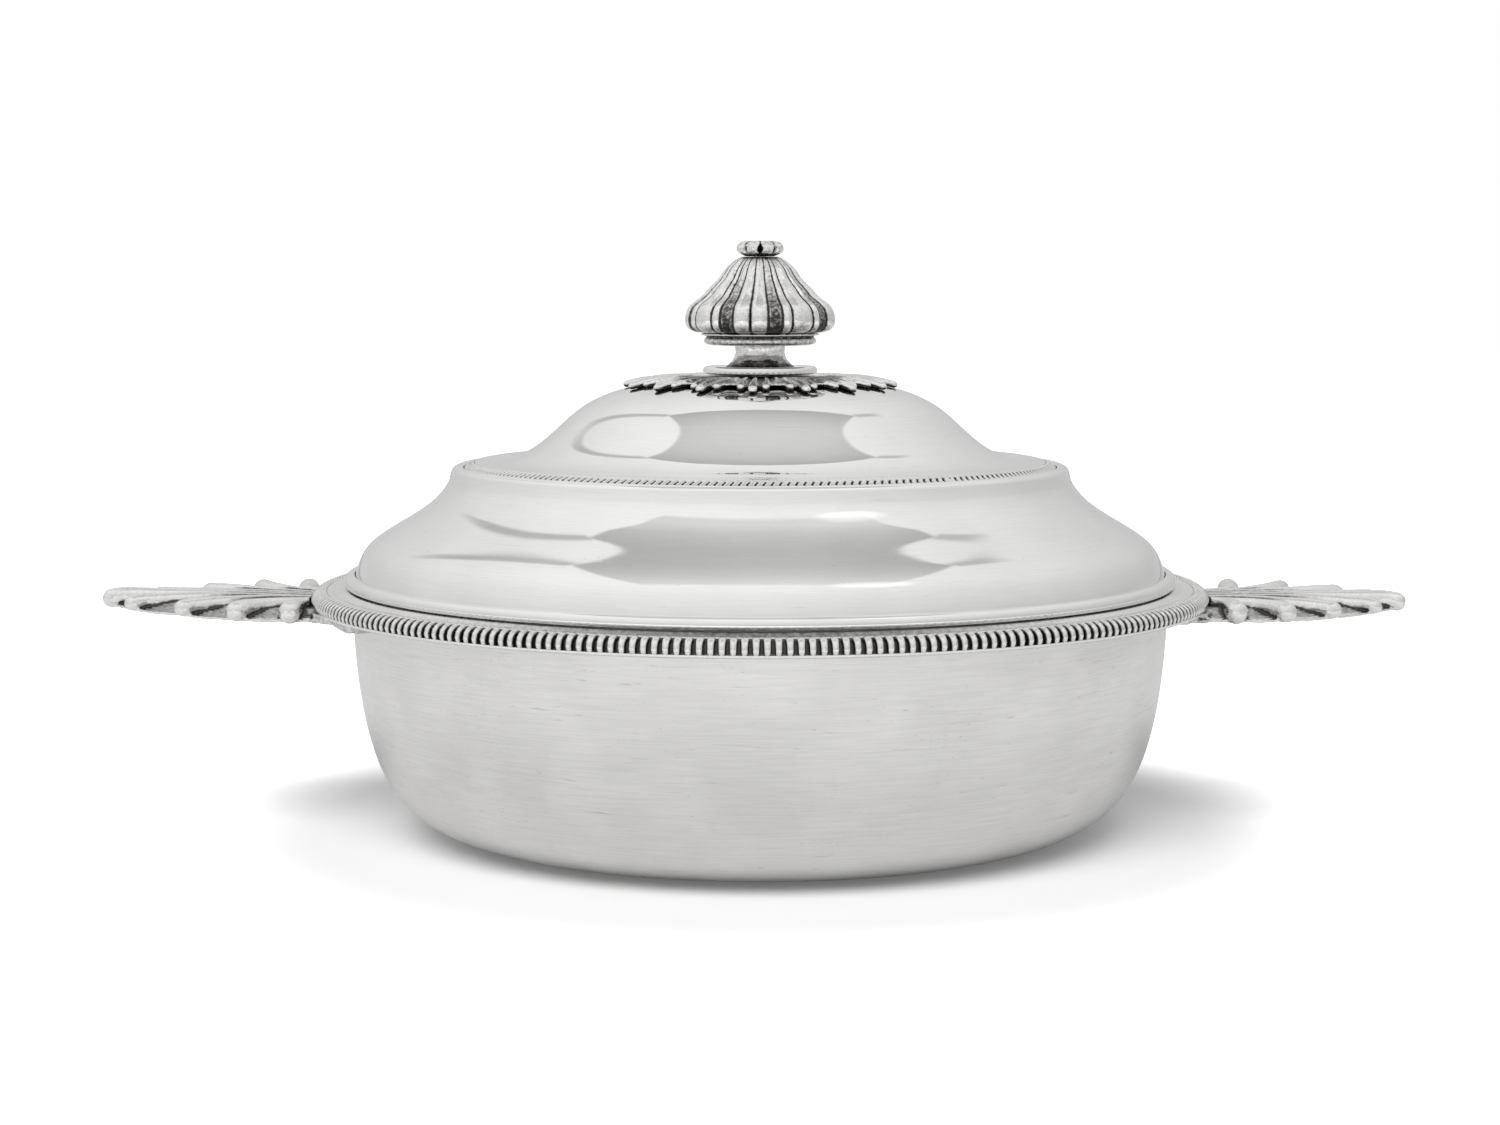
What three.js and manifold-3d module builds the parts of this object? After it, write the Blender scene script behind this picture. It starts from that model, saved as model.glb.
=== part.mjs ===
// Covered silver bowl (ecuelle) with two cast handles and a bolted finial, in millimetres.
// The table is z = 0, the bowl's axis is Z, and the handles lie along X.
import * as THREE from "three";
import { mergeVertices } from "three/addons/utils/BufferGeometryUtils.js";
import Module from "manifold-3d";

const wasm = await Module();
wasm.setup();

// Sizes shared by several pieces
const solderGap = 0.3; // between pieces that are soldered, riveted or clamped together
const lidClearance = 0.3; // between the closed cover and the bowl's mouth
const weldDistance = 0.0001; // corners closer than this are one corner
const overrun = 2; // how far a cutting shape runs past what it cuts

// Bowl
const bowlWallRadius = 92.8;
const bowlFlatRadius = 50;
const bowlMouthHeight = 56.7;
const bowlSheet = 1.4;
const bellyHeightShare = 0.81; // where the curved wall turns straight, of the mouth height

// Rim moulding round the mouth
const rimWidth = 9.4;
const rimHeight = 4.2;

// Handles
const handleReach = 49; // past the rim moulding
const handleHalfWidth = 27;
const handleTopDrop = 1.3; // of the ridges' tops below the mouth
const lobeWidth = 5.8;
const lobeHeight = 4.4;
const lobeRootWidth = 2.5;
const lobeDroop = 1.7;
const webThickness = 1.5;
const padWidth = 10.4;
const padHeight = 2.9;

// Cover
const coverSheet = 1.2;
const coverOverhang = 2; // of the cover's edge past the bowl's wall
const coverShoulderRise = 27.9; // edge to flat step
const coverDomeRise = 18.3; // flat step to crown
const coverStepRadius = 65.2;
const stepFlatWidth = 5.2;
const lipWidth = 3.2;
const lipDrop = 0.8;
const edgeBandWidth = 1.7;
const edgeBandHeight = 3;

// Milled band on the step's bevel
const milledWidth = 2.3;
const milledDrop = 1.3;
const milledThickness = 0.8;

// Bezel that locates the cover in the mouth. Its clearance lets the cover turn past the facets.
const bezelThickness = 1.2;
const bezelDepth = 7;
const bezelTopRise = 3;
const bezelClearance = 0.5;

// Rosette of leaves under the finial
const rosetteRadius = 31.7;
const rosetteBossRadius = 13;
const rosetteBossThickness = 0.8;
const leafRise = 1.5;
const leafTipThickness = 0.5;

// Finial, from the cover upwards
const studRadius = 2;
const collarRadius = 13.1;
const collarHeight = 1.5;
const collarDishRadius = 9.6;
const collarDishDepth = 0.9;
const stemFootRadius = 8.2;
const stemWaistRadius = 6.1;
const stemHeight = 5.4;
const saucerRadius = 13.9;
const saucerHeight = 2.7;
const budRadius = 17.1;
const budHeight = 16.4;
const budBoreDepth = 7.8;
const fluteDepth = 0.9;
const capRadius = 5.5;
const capHeight = 4;
const capSpigotRadius = 1.5;
const capSpigotLength = 2.8;

// Fixings inside the cover
const washerRadius = 8;
const washerThickness = 0.8;
const nutRadius = 4.6;
const nutThickness = 3;
const studTail = 1; // below the nut

// Facets
const largeSegments = 48;
const smallSegments = 32;
const studSegments = 12;
const ridgeSides = 6;
const ridgeSteps = 6;

// Radii and heights that several pieces meet at
const rimOuterRadius = bowlWallRadius + solderGap + rimWidth;
const rimFootHeight = bowlMouthHeight - rimHeight;
const coverSeatHeight = bowlMouthHeight + lidClearance;
const coverEdgeRadius = bowlWallRadius + coverOverhang;
const shellEdgeRadius = coverEdgeRadius - edgeBandWidth - solderGap;
const stepHeight = coverSeatHeight + coverShoulderRise;
const crownHeight = stepHeight + coverDomeRise;
const milledOuterRadius = coverStepRadius + milledWidth;
const shoulderRadius = milledOuterRadius + solderGap + lipWidth;
const boreRadius = studRadius + solderGap;
const collarFoot = crownHeight + rosetteBossThickness + solderGap * 2;
const stemFoot = collarFoot + collarHeight - collarDishDepth + solderGap;
const saucerFoot = stemFoot + stemHeight + solderGap;
const budFoot = saucerFoot + saucerHeight + solderGap;
const capFoot = budFoot + budHeight + solderGap;
const washerTop = crownHeight - coverSheet - solderGap;
const nutTop = washerTop - washerThickness - solderGap;
const nutFoot = nutTop - nutThickness;

// Finishes
const finishes = {
  satin: { color: 0xcfcdca, roughness: 0.38 },
  polish: { color: 0xdcdad7, roughness: 0.16 },
  cast: { color: 0xbdbab5, roughness: 0.42 },
  patina: { color: 0xa5a29c, roughness: 0.48 },
  steel: { color: 0x8e8d8a, roughness: 0.5 },
};

function material(finish) {
  return new THREE.MeshStandardMaterial({ ...finishes[finish], metalness: 1 });
}

const model = new THREE.Group();

function addPiece(name, geometry, finish) {
  const mesh = new THREE.Mesh(geometry, material(finish));
  mesh.name = name;
  model.add(mesh);
}

// A geometry with only its positions left and its shared corners joined.
function joined(geometry) {
  const bare = geometry.clone();
  bare.deleteAttribute("normal");
  bare.deleteAttribute("uv");
  return mergeVertices(bare, weldDistance);
}

function toSolid(geometry) {
  const shape = joined(geometry);
  const vertProperties = shape.attributes.position.array;
  const triVerts = new Uint32Array(shape.index.array);
  return new wasm.Manifold(new wasm.Mesh({ numProp: 3, vertProperties, triVerts }));
}

function toGeometry(solid) {
  const mesh = solid.getMesh();
  const geometry = new THREE.BufferGeometry();
  geometry.setAttribute("position", new THREE.BufferAttribute(mesh.vertProperties, mesh.numProp));
  geometry.setIndex(new THREE.BufferAttribute(mesh.triVerts, 1));
  geometry.computeVertexNormals();
  return geometry;
}

// Turns an outline of [radius, height] pairs about Z. It starts and ends on the axis, or is closed here.
function turned(outline, segments) {
  const points = outline.map(([radius, height]) => new THREE.Vector2(radius, height));
  if (THREE.ShapeUtils.isClockWise(points)) {
    points.reverse();
  }
  if (points[0].x > 0) {
    points.push(points[0].clone());
  }
  const geometry = new THREE.LatheGeometry(points, segments);
  geometry.rotateX(Math.PI / 2);
  return joined(geometry);
}

// A smooth line through points given as shares of a width and a height, from a corner.
function smoothLine(shares, corner, width, height, divisions) {
  const points = shares.map(([across, up]) => new THREE.Vector2(across * width, up * height));
  const curve = new THREE.SplineCurve(points);
  return curve.getPoints(divisions).map((point) => [corner[0] + point.x, corner[1] + point.y]);
}

// Moves a line sideways by a distance, to the left of the way it runs.
function offsetLine(line, distance) {
  return line.map(([radius, height], index) => {
    const before = line[Math.max(index - 1, 0)];
    const after = line[Math.min(index + 1, line.length - 1)];
    const run = new THREE.Vector2(after[0] - before[0], after[1] - before[1]).normalize();
    return [radius - run.y * distance, height + run.x * distance];
  });
}

// The height of a falling line at a radius.
function heightAt(line, radius) {
  const after = line.findIndex((point) => point[0] >= radius);
  if (after < 1) {
    return line[0][1];
  }
  const [nearRadius, nearHeight] = line[after - 1];
  const [farRadius, farHeight] = line[after];
  const share = (radius - nearRadius) / (farRadius - nearRadius);
  return nearHeight + (farHeight - nearHeight) * share;
}

// The radius of a falling line at a height.
function radiusAt(line, height) {
  const after = line.findIndex((point) => point[1] <= height);
  const [nearRadius, nearHeight] = line[after - 1];
  const [farRadius, farHeight] = line[after];
  const share = (nearHeight - height) / (nearHeight - farHeight);
  return nearRadius + (farRadius - nearRadius) * share;
}

// Bowl: a flat underside, a full curve and a nearly straight wall, in sheet of one thickness.
function bowlOutline() {
  const bellyHeight = bowlMouthHeight * bellyHeightShare;
  const spread = bowlWallRadius - bowlFlatRadius;
  const flatReachShare = 0.65;
  const wallLeanShare = 0.06;
  const turnHeightShare = 0.07;
  const curve = new THREE.CubicBezierCurve(
    new THREE.Vector2(bowlFlatRadius, 0),
    new THREE.Vector2(bowlFlatRadius + spread * flatReachShare, 0),
    new THREE.Vector2(bowlWallRadius - spread * wallLeanShare, bellyHeight * turnHeightShare),
    new THREE.Vector2(bowlWallRadius, bellyHeight),
  );
  const curveDivisions = 8;
  const wall = curve.getPoints(curveDivisions).map((point) => [point.x, point.y]);
  wall.push([bowlWallRadius, bowlMouthHeight]);
  return wall;
}

function makeBowl() {
  const outside = bowlOutline();
  const inside = offsetLine(outside, bowlSheet);
  const outline = [[0, 0], ...outside, ...inside.reverse(), [0, bowlSheet]];
  return turned(outline, largeSegments);
}

// Rim moulding: a rounded outer face, a crest, a shallow channel and a lip beside the cover.
const rimOuterShares = [
  [0.7, 0.06],
  [0.82, 0.15],
  [0.95, 0.38],
  [1, 0.64],
  [0.965, 0.84],
  [0.87, 0.97],
  [0.76, 1.02],
];
const rimChannelShares = [
  [0.57, 0.92],
  [0.39, 0.88],
  [0.27, 0.94],
  [0.22, 1],
];

function rimPoint([across, up]) {
  return [bowlWallRadius + solderGap + rimWidth * across, rimFootHeight + rimHeight * up];
}

function makeRim() {
  const outline = [
    rimPoint([0, 0]),
    ...rimOuterShares.map(rimPoint),
    ...rimChannelShares.map(rimPoint),
    rimPoint([0, 1]),
  ];
  return turned(outline, largeSegments);
}

// The space that a handle leaves for the rim moulding.
function rimSpace() {
  const face = offsetLine([rimPoint([0, 0]), ...rimOuterShares.map(rimPoint)], -solderGap);
  const top = bowlMouthHeight + overrun;
  const outline = [
    [bowlWallRadius - overrun, rimFootHeight - solderGap],
    ...face,
    [face.at(-1)[0], top],
    [bowlWallRadius - overrun, top],
  ];
  return turned(outline, largeSegments);
}

// A ridge that follows a curve and swells to a rounded end: a unit cylinder carried along the curve.
// Its rings lie closer together towards the end.
function ridgeAlong(curve, rootSize, endSize) {
  const roundingShare = 0.84; // of the length, where the end starts to round
  const flatEndShare = 0.9;
  const ridge = joined(new THREE.CylinderGeometry(1, 1, 1, ridgeSides, ridgeSteps));
  const places = ridge.attributes.position;
  const up = new THREE.Vector3(0, 0, 1);
  for (let index = 0; index < places.count; index += 1) {
    const along = Math.sin((THREE.MathUtils.clamp(places.getY(index) + 1 / 2, 0, 1) * Math.PI) / 2);
    const centre = curve.getPoint(along);
    const side = curve.getTangent(along).cross(up).normalize();
    const past = Math.max(0, (along - roundingShare) / (1 - roundingShare));
    const round = Math.sqrt(1 - flatEndShare * past * past);
    const halfWidth = (THREE.MathUtils.lerp(rootSize[0], endSize[0], along) * round) / 2;
    const halfHeight = (THREE.MathUtils.lerp(rootSize[1], endSize[1], along) * round) / 2;
    centre.addScaledVector(side, places.getX(index) * halfWidth);
    centre.addScaledVector(up, places.getZ(index) * halfHeight);
    places.setXYZ(index, centre.x, centre.y, centre.z);
  }
  return ridge;
}

// Handle on the +X side: a palmette of nine ridges on a web, with a pad under the rim moulding.
const lobeReachShares = [1, 0.84, 0.59, 0.35, 0.13];
const lobeSpreadShares = [0, 0.31, 0.66, 0.91, 1];
const rootSpreadShares = [0, 0.1, 0.2, 0.31, 0.43];

function lobeCurve(order, side) {
  const rootRadius = rimOuterRadius - lobeWidth;
  const top = bowlMouthHeight - handleTopDrop;
  const middle = top - lobeHeight / 2;
  const tip = rimOuterRadius + handleReach * lobeReachShares[order];
  const rootY = side * handleHalfWidth * rootSpreadShares[order];
  const tipY = side * (handleHalfWidth - lobeWidth / 2) * lobeSpreadShares[order];
  const bendShare = 0.62;
  const liftShare = 0.3;
  const bend = new THREE.Vector3(
    THREE.MathUtils.lerp(rootRadius, tip, bendShare),
    THREE.MathUtils.lerp(rootY, tipY, liftShare),
    middle + lobeDroop,
  );
  return new THREE.QuadraticBezierCurve3(
    new THREE.Vector3(rootRadius, rootY, middle),
    bend,
    new THREE.Vector3(tip, tipY, middle - lobeDroop),
  );
}

function handleWeb() {
  const webReachShare = 0.95; // of the lobes' own reach and spread
  const webHollowShare = 0.9; // the same, midway between two lobes
  const shape = new THREE.Shape();
  const corners = [];
  const addCorner = (reachShare, spreadShare) => {
    corners.push([rimOuterRadius + handleReach * reachShare, handleHalfWidth * spreadShare]);
  };
  lobeReachShares.forEach((reachShare, order) => {
    addCorner(reachShare * webReachShare, lobeSpreadShares[order] * webReachShare);
    const nextReach = lobeReachShares[order + 1] ?? 0;
    const nextSpread = lobeSpreadShares[order + 1] ?? 1;
    const spread = (lobeSpreadShares[order] + nextSpread) / 2;
    addCorner(((reachShare + nextReach) / 2) * webHollowShare, spread * webHollowShare);
  });
  corners.push([rimOuterRadius - padWidth / 2, handleHalfWidth * webHollowShare]);
  const below = corners.slice(1).map(([x, y]) => [x, -y]);
  shape.moveTo(corners[0][0], corners[0][1]);
  [...corners.slice(1), ...below.reverse()].forEach(([x, y]) => shape.lineTo(x, y));
  const web = new THREE.ExtrudeGeometry(shape, { depth: webThickness, bevelEnabled: false });
  web.translate(0, 0, rimFootHeight - solderGap - webThickness);
  return web;
}

function handlePad() {
  const padSteps = 2; // facets of the bowl's wall on each side of the X axis
  const facetAngle = (Math.PI * 2) / largeSegments;
  const innerRadius = bowlWallRadius + solderGap;
  const shape = new THREE.Shape();
  const arc = (radius, step) => [
    radius * Math.cos(step * facetAngle),
    radius * Math.sin(step * facetAngle),
  ];
  shape.moveTo(...arc(innerRadius, padSteps));
  for (let step = padSteps - 1; step >= -padSteps; step -= 1) {
    shape.lineTo(...arc(innerRadius, step));
  }
  for (let step = -padSteps; step <= padSteps; step += 1) {
    shape.lineTo(...arc(innerRadius + padWidth, step));
  }
  const pad = new THREE.ExtrudeGeometry(shape, { depth: padHeight, bevelEnabled: false });
  pad.translate(0, 0, rimFootHeight - solderGap - padHeight);
  return pad;
}

function makeHandle() {
  let handle = toSolid(handlePad()).add(toSolid(handleWeb()));
  lobeReachShares.forEach((reachShare, order) => {
    const sides = order === 0 ? [1] : [1, -1];
    sides.forEach((side) => {
      const ridge = ridgeAlong(
        lobeCurve(order, side),
        [lobeRootWidth, lobeHeight],
        [lobeWidth, lobeHeight],
      );
      handle = handle.add(toSolid(ridge));
    });
  });
  return toGeometry(handle.subtract(toSolid(rimSpace())));
}

// Cover: a dome above a flat step with a bevel for the milled band, a lip, and a full shoulder.
const domeShares = [
  [0, 1],
  [0.22, 0.99],
  [0.43, 0.935],
  [0.546, 0.867],
  [0.626, 0.75],
  [0.685, 0.62],
  [0.77, 0.375],
  [0.872, 0.132],
  [1, 0],
];
const shoulderShares = [
  [0, 0.92],
  [0.023, 0.857],
  [0.07, 0.795],
  [0.156, 0.718],
  [0.296, 0.63],
  [0.482, 0.54],
  [0.665, 0.46],
  [0.794, 0.38],
  [0.881, 0.302],
  [0.945, 0.2],
  [0.99, 0.11],
  [1, 0],
];
const domeDivisions = 8;
const shoulderDivisions = 10;

function domeLine() {
  const width = coverStepRadius - stepFlatWidth - boreRadius;
  return smoothLine(domeShares, [boreRadius, stepHeight], width, coverDomeRise, domeDivisions);
}

function shoulderLine() {
  const width = shellEdgeRadius - shoulderRadius;
  const rise = coverShoulderRise - milledDrop;
  const corner = [shoulderRadius, coverSeatHeight];
  return smoothLine(shoulderShares, corner, width, rise, shoulderDivisions);
}

function makeShell() {
  const dome = domeLine();
  const shoulder = shoulderLine();
  const channelDepth = milledThickness + solderGap;
  const bevel = [
    [coverStepRadius, stepHeight - channelDepth],
    [milledOuterRadius + solderGap, stepHeight - channelDepth - milledDrop],
  ];
  const lip = [
    [milledOuterRadius + solderGap, stepHeight - milledDrop],
    [milledOuterRadius + solderGap + lipWidth / 2, stepHeight - lipDrop],
  ];
  const outside = [...dome, [coverStepRadius, stepHeight], ...bevel, ...lip, ...shoulder];
  const underStep = [coverStepRadius - solderGap, stepHeight - channelDepth];
  const skin = [...dome.slice(0, -1), underStep, bevel[1], ...shoulder];
  const inside = offsetLine(skin, -coverSheet);
  inside.at(-1)[1] = coverSeatHeight;
  return turned([...outside, ...inside.reverse()], largeSegments);
}

// Band round the cover's edge.
function makeEdgeBand() {
  const inner = coverEdgeRadius - edgeBandWidth;
  const easeShare = 0.25;
  const ease = edgeBandWidth * easeShare;
  const top = coverSeatHeight + edgeBandHeight;
  return turned(
    [
      [inner, coverSeatHeight],
      [coverEdgeRadius - ease, coverSeatHeight],
      [coverEdgeRadius, coverSeatHeight + ease],
      [coverEdgeRadius, top - ease * 2],
      [coverEdgeRadius - ease, top - ease / 2],
      [inner, top],
    ],
    largeSegments,
  );
}

// Bezel: soldered inside the cover's edge, it hangs into the mouth.
function makeBezel() {
  const mouthInside = bowlWallRadius - bowlSheet;
  const top = coverSeatHeight + bezelTopRise;
  const seat = coverSeatHeight + solderGap;
  const outer = radiusAt(offsetLine(shoulderLine(), -coverSheet), top) - bezelClearance;
  const lower = mouthInside - bezelClearance;
  const inner = Math.min(outer, lower) - bezelThickness;
  const leadShare = 0.5;
  const foot = coverSeatHeight - bezelDepth;
  return turned(
    [
      [inner, foot],
      [lower - bezelThickness * leadShare, foot],
      [lower, foot + bezelThickness],
      [lower, seat],
      [outer, seat],
      [outer, top],
      [inner, top],
    ],
    largeSegments,
  );
}

// Milled band: a flat strip that lies in the bevel beside the step.
function makeMilledBand() {
  const inner = coverStepRadius + solderGap;
  return turned(
    [
      [inner, stepHeight - milledThickness],
      [milledOuterRadius, stepHeight - milledThickness - milledDrop],
      [milledOuterRadius, stepHeight - milledDrop],
      [inner, stepHeight],
    ],
    largeSegments,
  );
}

// Rosette: sixteen three-lobed leaves. Each sample of a leaf has its reach and its rise.
const leafCount = 16;
const leafReachShares = [1, 0.9, 0.93, 0.8, 0.93, 0.9];
const leafRiseShares = [1, 0.3, 0.75, 0.1, 0.75, 0.3];

// Moves each corner of a turned shape by a rule that is given its angle, radius and height.
// The rule gives back the new radius and height, and the new angle where that changes too.
function reshaped(geometry, rule) {
  const places = geometry.attributes.position;
  for (let index = 0; index < places.count; index += 1) {
    const x = places.getX(index);
    const y = places.getY(index);
    const radius = Math.hypot(x, y);
    const angle = Math.atan2(x, -y);
    const [newRadius, newHeight, turn = angle] = rule(angle, radius, places.getZ(index));
    places.setXYZ(index, newRadius * Math.sin(turn), -newRadius * Math.cos(turn), newHeight);
  }
  return geometry;
}

function makeRosette() {
  const dome = domeLine();
  const samples = leafReachShares.length;
  const bossTop = crownHeight + solderGap + rosetteBossThickness;
  const radiusShares = [0.52, 0.8, 1];
  const liftShares = [0.6, 1, 0.5];
  const underRadii = [boreRadius, rosetteBossRadius];
  radiusShares.forEach((share) => underRadii.push(rosetteRadius * share));
  const under = underRadii.map((radius) => [radius, heightAt(dome, radius) + solderGap]);
  const upper = radiusShares.map((share) => {
    const radius = rosetteRadius * share;
    return [radius, heightAt(dome, radius) + solderGap + leafTipThickness];
  });
  const outline = [...under, ...upper.reverse(), [rosetteBossRadius, bossTop], [boreRadius, bossTop]];
  const sampleAngle = (Math.PI * 2) / (leafCount * samples);
  return reshaped(turned(outline, leafCount * samples), (angle, radius, height) => {
    if (radius < (rosetteBossRadius + rosetteRadius * radiusShares[0]) / 2) {
      return [radius, height];
    }
    const order = (Math.round(angle / sampleAngle) + leafCount * samples) % samples;
    const outward = (radius - rosetteBossRadius) / (rosetteRadius - rosetteBossRadius);
    const newRadius = radius * THREE.MathUtils.lerp(1, leafReachShares[order], outward);
    const floor = heightAt(dome, radius) + solderGap;
    const moved = heightAt(dome, newRadius) + solderGap;
    if (height - floor < leafTipThickness / 2) {
      return [newRadius, moved];
    }
    const along = radiusShares.findIndex((share) => radius <= rosetteRadius * share + weldDistance);
    const lift = leafRise * leafRiseShares[order] * liftShares[along];
    return [newRadius, moved + leafTipThickness + lift];
  });
}

// Finial collar: a dished ring on the rosette.
function makeCollar() {
  const roundShare = 0.4;
  const round = collarHeight * roundShare;
  const top = collarFoot + collarHeight;
  const dish = top - collarDishDepth;
  return turned(
    [
      [boreRadius, collarFoot],
      [collarRadius, collarFoot],
      [collarRadius, top - round],
      [collarRadius - round, top - round / 2],
      [(collarRadius + collarDishRadius) / 2, top],
      [collarDishRadius, top],
      [collarDishRadius - solderGap, dish],
      [boreRadius, dish],
    ],
    smallSegments,
  );
}

// Finial stem: a waisted spool.
const stemShares = [
  [1, 0],
  [0.93, 0.1],
  [0.35, 0.26],
  [0.05, 0.52],
  [0, 0.7],
  [0.16, 1],
];

function makeStem() {
  const flare = stemFootRadius - stemWaistRadius;
  const side = stemShares.map(([across, up]) => [
    stemWaistRadius + flare * across,
    stemFoot + stemHeight * up,
  ]);
  const outline = [[boreRadius, stemFoot], ...side, [boreRadius, stemFoot + stemHeight]];
  return turned(outline, smallSegments);
}

// Saucer: a hollowed moulding with a thin bright rim, under the bud.
const saucerShares = [
  [0.82, 0],
  [0.9, 0.22],
  [0.935, 0.6],
  [0.945, 0.78],
  [1, 0.86],
  [1, 1],
  [0.93, 1],
];

function makeSaucer() {
  const side = saucerShares.map(([across, up]) => [
    saucerRadius * across,
    saucerFoot + saucerHeight * up,
  ]);
  const dishShare = 0.86;
  const dish = saucerFoot + saucerHeight * dishShare;
  const outline = [
    [boreRadius, saucerFoot],
    ...side,
    [saucerRadius * dishShare, dish],
    [boreRadius, dish],
  ];
  return turned(outline, smallSegments);
}

// Bud: a fluted turban. Each quarter holds seven flutes of unlike width, some raised and some hollow.
const budShares = [
  [0.83, 0],
  [0.98, 0.08],
  [1, 0.19],
  [0.945, 0.355],
  [0.75, 0.525],
  [0.6, 0.69],
  [0.485, 0.855],
  [0.3, 1],
];
const fluteWidthShares = [0.161, 0.129, 0.097, 0.226, 0.097, 0.129, 0.161];
const fluteRiseShares = [1, 0.3, 0.8, 1, 0.8, 0.3, 1];
const quarterTurn = Math.PI / 2;
const firstGrooveAngle = THREE.MathUtils.degToRad(-8);
const flutesInTurn = fluteWidthShares.length * 4;

// The flute that a step lies in. An even step is a groove and an odd one the middle of a flute.
function fluteAt(step) {
  const quarterIndex = Math.floor(step / 2 / fluteWidthShares.length);
  const order = Math.floor(step / 2) % fluteWidthShares.length;
  const before = fluteWidthShares.slice(0, order).reduce((sum, share) => sum + share, quarterIndex);
  const middle = step % 2 === 0 ? 0 : fluteWidthShares[order] / 2;
  const turn = firstGrooveAngle + (before + middle) * quarterTurn;
  return { turn, rise: step % 2 === 0 ? 0 : fluteRiseShares[order] };
}

function makeBud() {
  const sideDivisions = 10;
  const side = smoothLine(budShares, [0, budFoot], budRadius, budHeight, sideDivisions);
  const top = budFoot + budHeight;
  const spigotHole = capSpigotRadius + solderGap;
  const outline = [
    [0, budFoot + budBoreDepth],
    [boreRadius, budFoot + budBoreDepth],
    [boreRadius, budFoot],
    ...side,
    [spigotHole, top],
    [spigotHole, top - capSpigotLength - solderGap],
    [0, top - capSpigotLength - solderGap],
  ];
  const neckRadius = budRadius * budShares.at(-1)[0];
  const steps = flutesInTurn * 2;
  const stepAngle = (Math.PI * 2) / steps;
  return reshaped(turned(outline, steps), (angle, radius, height) => {
    const { turn, rise } = fluteAt((Math.round(angle / stepAngle) + steps) % steps);
    if (radius < neckRadius - weldDistance) {
      return [radius, height, turn];
    }
    const depth = fluteDepth * (radius / budRadius) * (1 - rise);
    return [radius - depth, height, turn];
  });
}

// Cap: a floret of eight beads with a spigot in the bud's top.
const capShares = [
  [0.78, 0],
  [0.86, 0.18],
  [1, 0.45],
  [0.95, 0.7],
  [0.72, 0.92],
  [0.3, 0.97],
];

function makeCap() {
  const beadCount = 8;
  const beadSteps = 4;
  const beadDepthShare = 0.1;
  const side = capShares.map(([across, up]) => [capRadius * across, capFoot + capHeight * up]);
  const outline = [
    [0, capFoot - capSpigotLength],
    [capSpigotRadius, capFoot - capSpigotLength],
    [capSpigotRadius, capFoot],
    ...side,
    [0, capFoot + capHeight],
  ];
  return reshaped(turned(outline, beadCount * beadSteps), (angle, radius, height) => {
    if (radius < capRadius / 2) {
      return [radius, height];
    }
    const hollow = (1 + Math.cos(angle * beadCount)) / 2;
    return [radius * (1 - beadDepthShare * hollow), height];
  });
}

// Stud, washer and nut that hold the finial to the cover.
function makeStud() {
  const foot = nutFoot - studTail;
  const top = budFoot + budBoreDepth - solderGap;
  return turned([[0, foot], [studRadius, foot], [studRadius, top], [0, top]], studSegments);
}

function makeWasher() {
  const foot = washerTop - washerThickness;
  return turned(
    [[boreRadius, foot], [washerRadius, foot], [washerRadius, washerTop], [boreRadius, washerTop]],
    smallSegments,
  );
}

function makeNut() {
  const hexagonSides = 6;
  const blank = turned([[0, nutFoot], [nutRadius, nutFoot], [nutRadius, nutTop], [0, nutTop]], hexagonSides);
  const bore = turned(
    [[0, nutFoot - overrun], [boreRadius, nutFoot - overrun], [boreRadius, nutTop + overrun], [0, nutTop + overrun]],
    studSegments,
  );
  return toGeometry(toSolid(blank).subtract(toSolid(bore)));
}

addPiece("bowl_body", makeBowl(), "satin");
addPiece("rim_gadroon", makeRim(), "cast");
addPiece("right_handle", makeHandle(), "cast");
addPiece("left_handle", makeHandle().rotateZ(Math.PI), "cast");
addPiece("cover_shell", makeShell(), "polish");
addPiece("cover_edge_band", makeEdgeBand(), "polish");
addPiece("cover_bezel", makeBezel(), "satin");
addPiece("milled_band", makeMilledBand(), "polish");
addPiece("rosette", makeRosette(), "patina");
addPiece("finial_collar", makeCollar(), "polish");
addPiece("finial_stem", makeStem(), "patina");
addPiece("finial_saucer", makeSaucer(), "patina");
addPiece("finial_bud", makeBud(), "patina");
addPiece("finial_cap", makeCap(), "patina");
addPiece("finial_stud", makeStud(), "steel");
addPiece("finial_washer", makeWasher(), "satin");
addPiece("finial_nut", makeNut(), "steel");

export default model;
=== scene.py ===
import math

import bmesh
import bpy
import numpy as np
from mathutils import Matrix, Vector, noise


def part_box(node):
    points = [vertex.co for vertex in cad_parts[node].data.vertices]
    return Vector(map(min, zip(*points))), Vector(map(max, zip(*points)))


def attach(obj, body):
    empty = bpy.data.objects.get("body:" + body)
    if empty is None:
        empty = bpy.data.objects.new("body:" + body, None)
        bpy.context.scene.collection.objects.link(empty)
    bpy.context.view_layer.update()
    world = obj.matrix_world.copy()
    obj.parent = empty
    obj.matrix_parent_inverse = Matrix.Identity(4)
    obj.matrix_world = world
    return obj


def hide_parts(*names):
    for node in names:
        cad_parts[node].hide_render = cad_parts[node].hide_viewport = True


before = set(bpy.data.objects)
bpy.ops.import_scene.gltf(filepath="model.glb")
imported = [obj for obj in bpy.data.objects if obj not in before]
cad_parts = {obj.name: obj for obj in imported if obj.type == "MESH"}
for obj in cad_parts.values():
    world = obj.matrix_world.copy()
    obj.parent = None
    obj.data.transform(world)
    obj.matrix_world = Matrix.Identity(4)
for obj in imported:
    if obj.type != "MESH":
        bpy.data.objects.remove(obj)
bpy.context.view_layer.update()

mm = 0.001  # pieces are modelled in millimetres and scaled at the end
weldGap = 0.001  # in millimetres, points nearer than this become one
scene = bpy.context.scene

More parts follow.
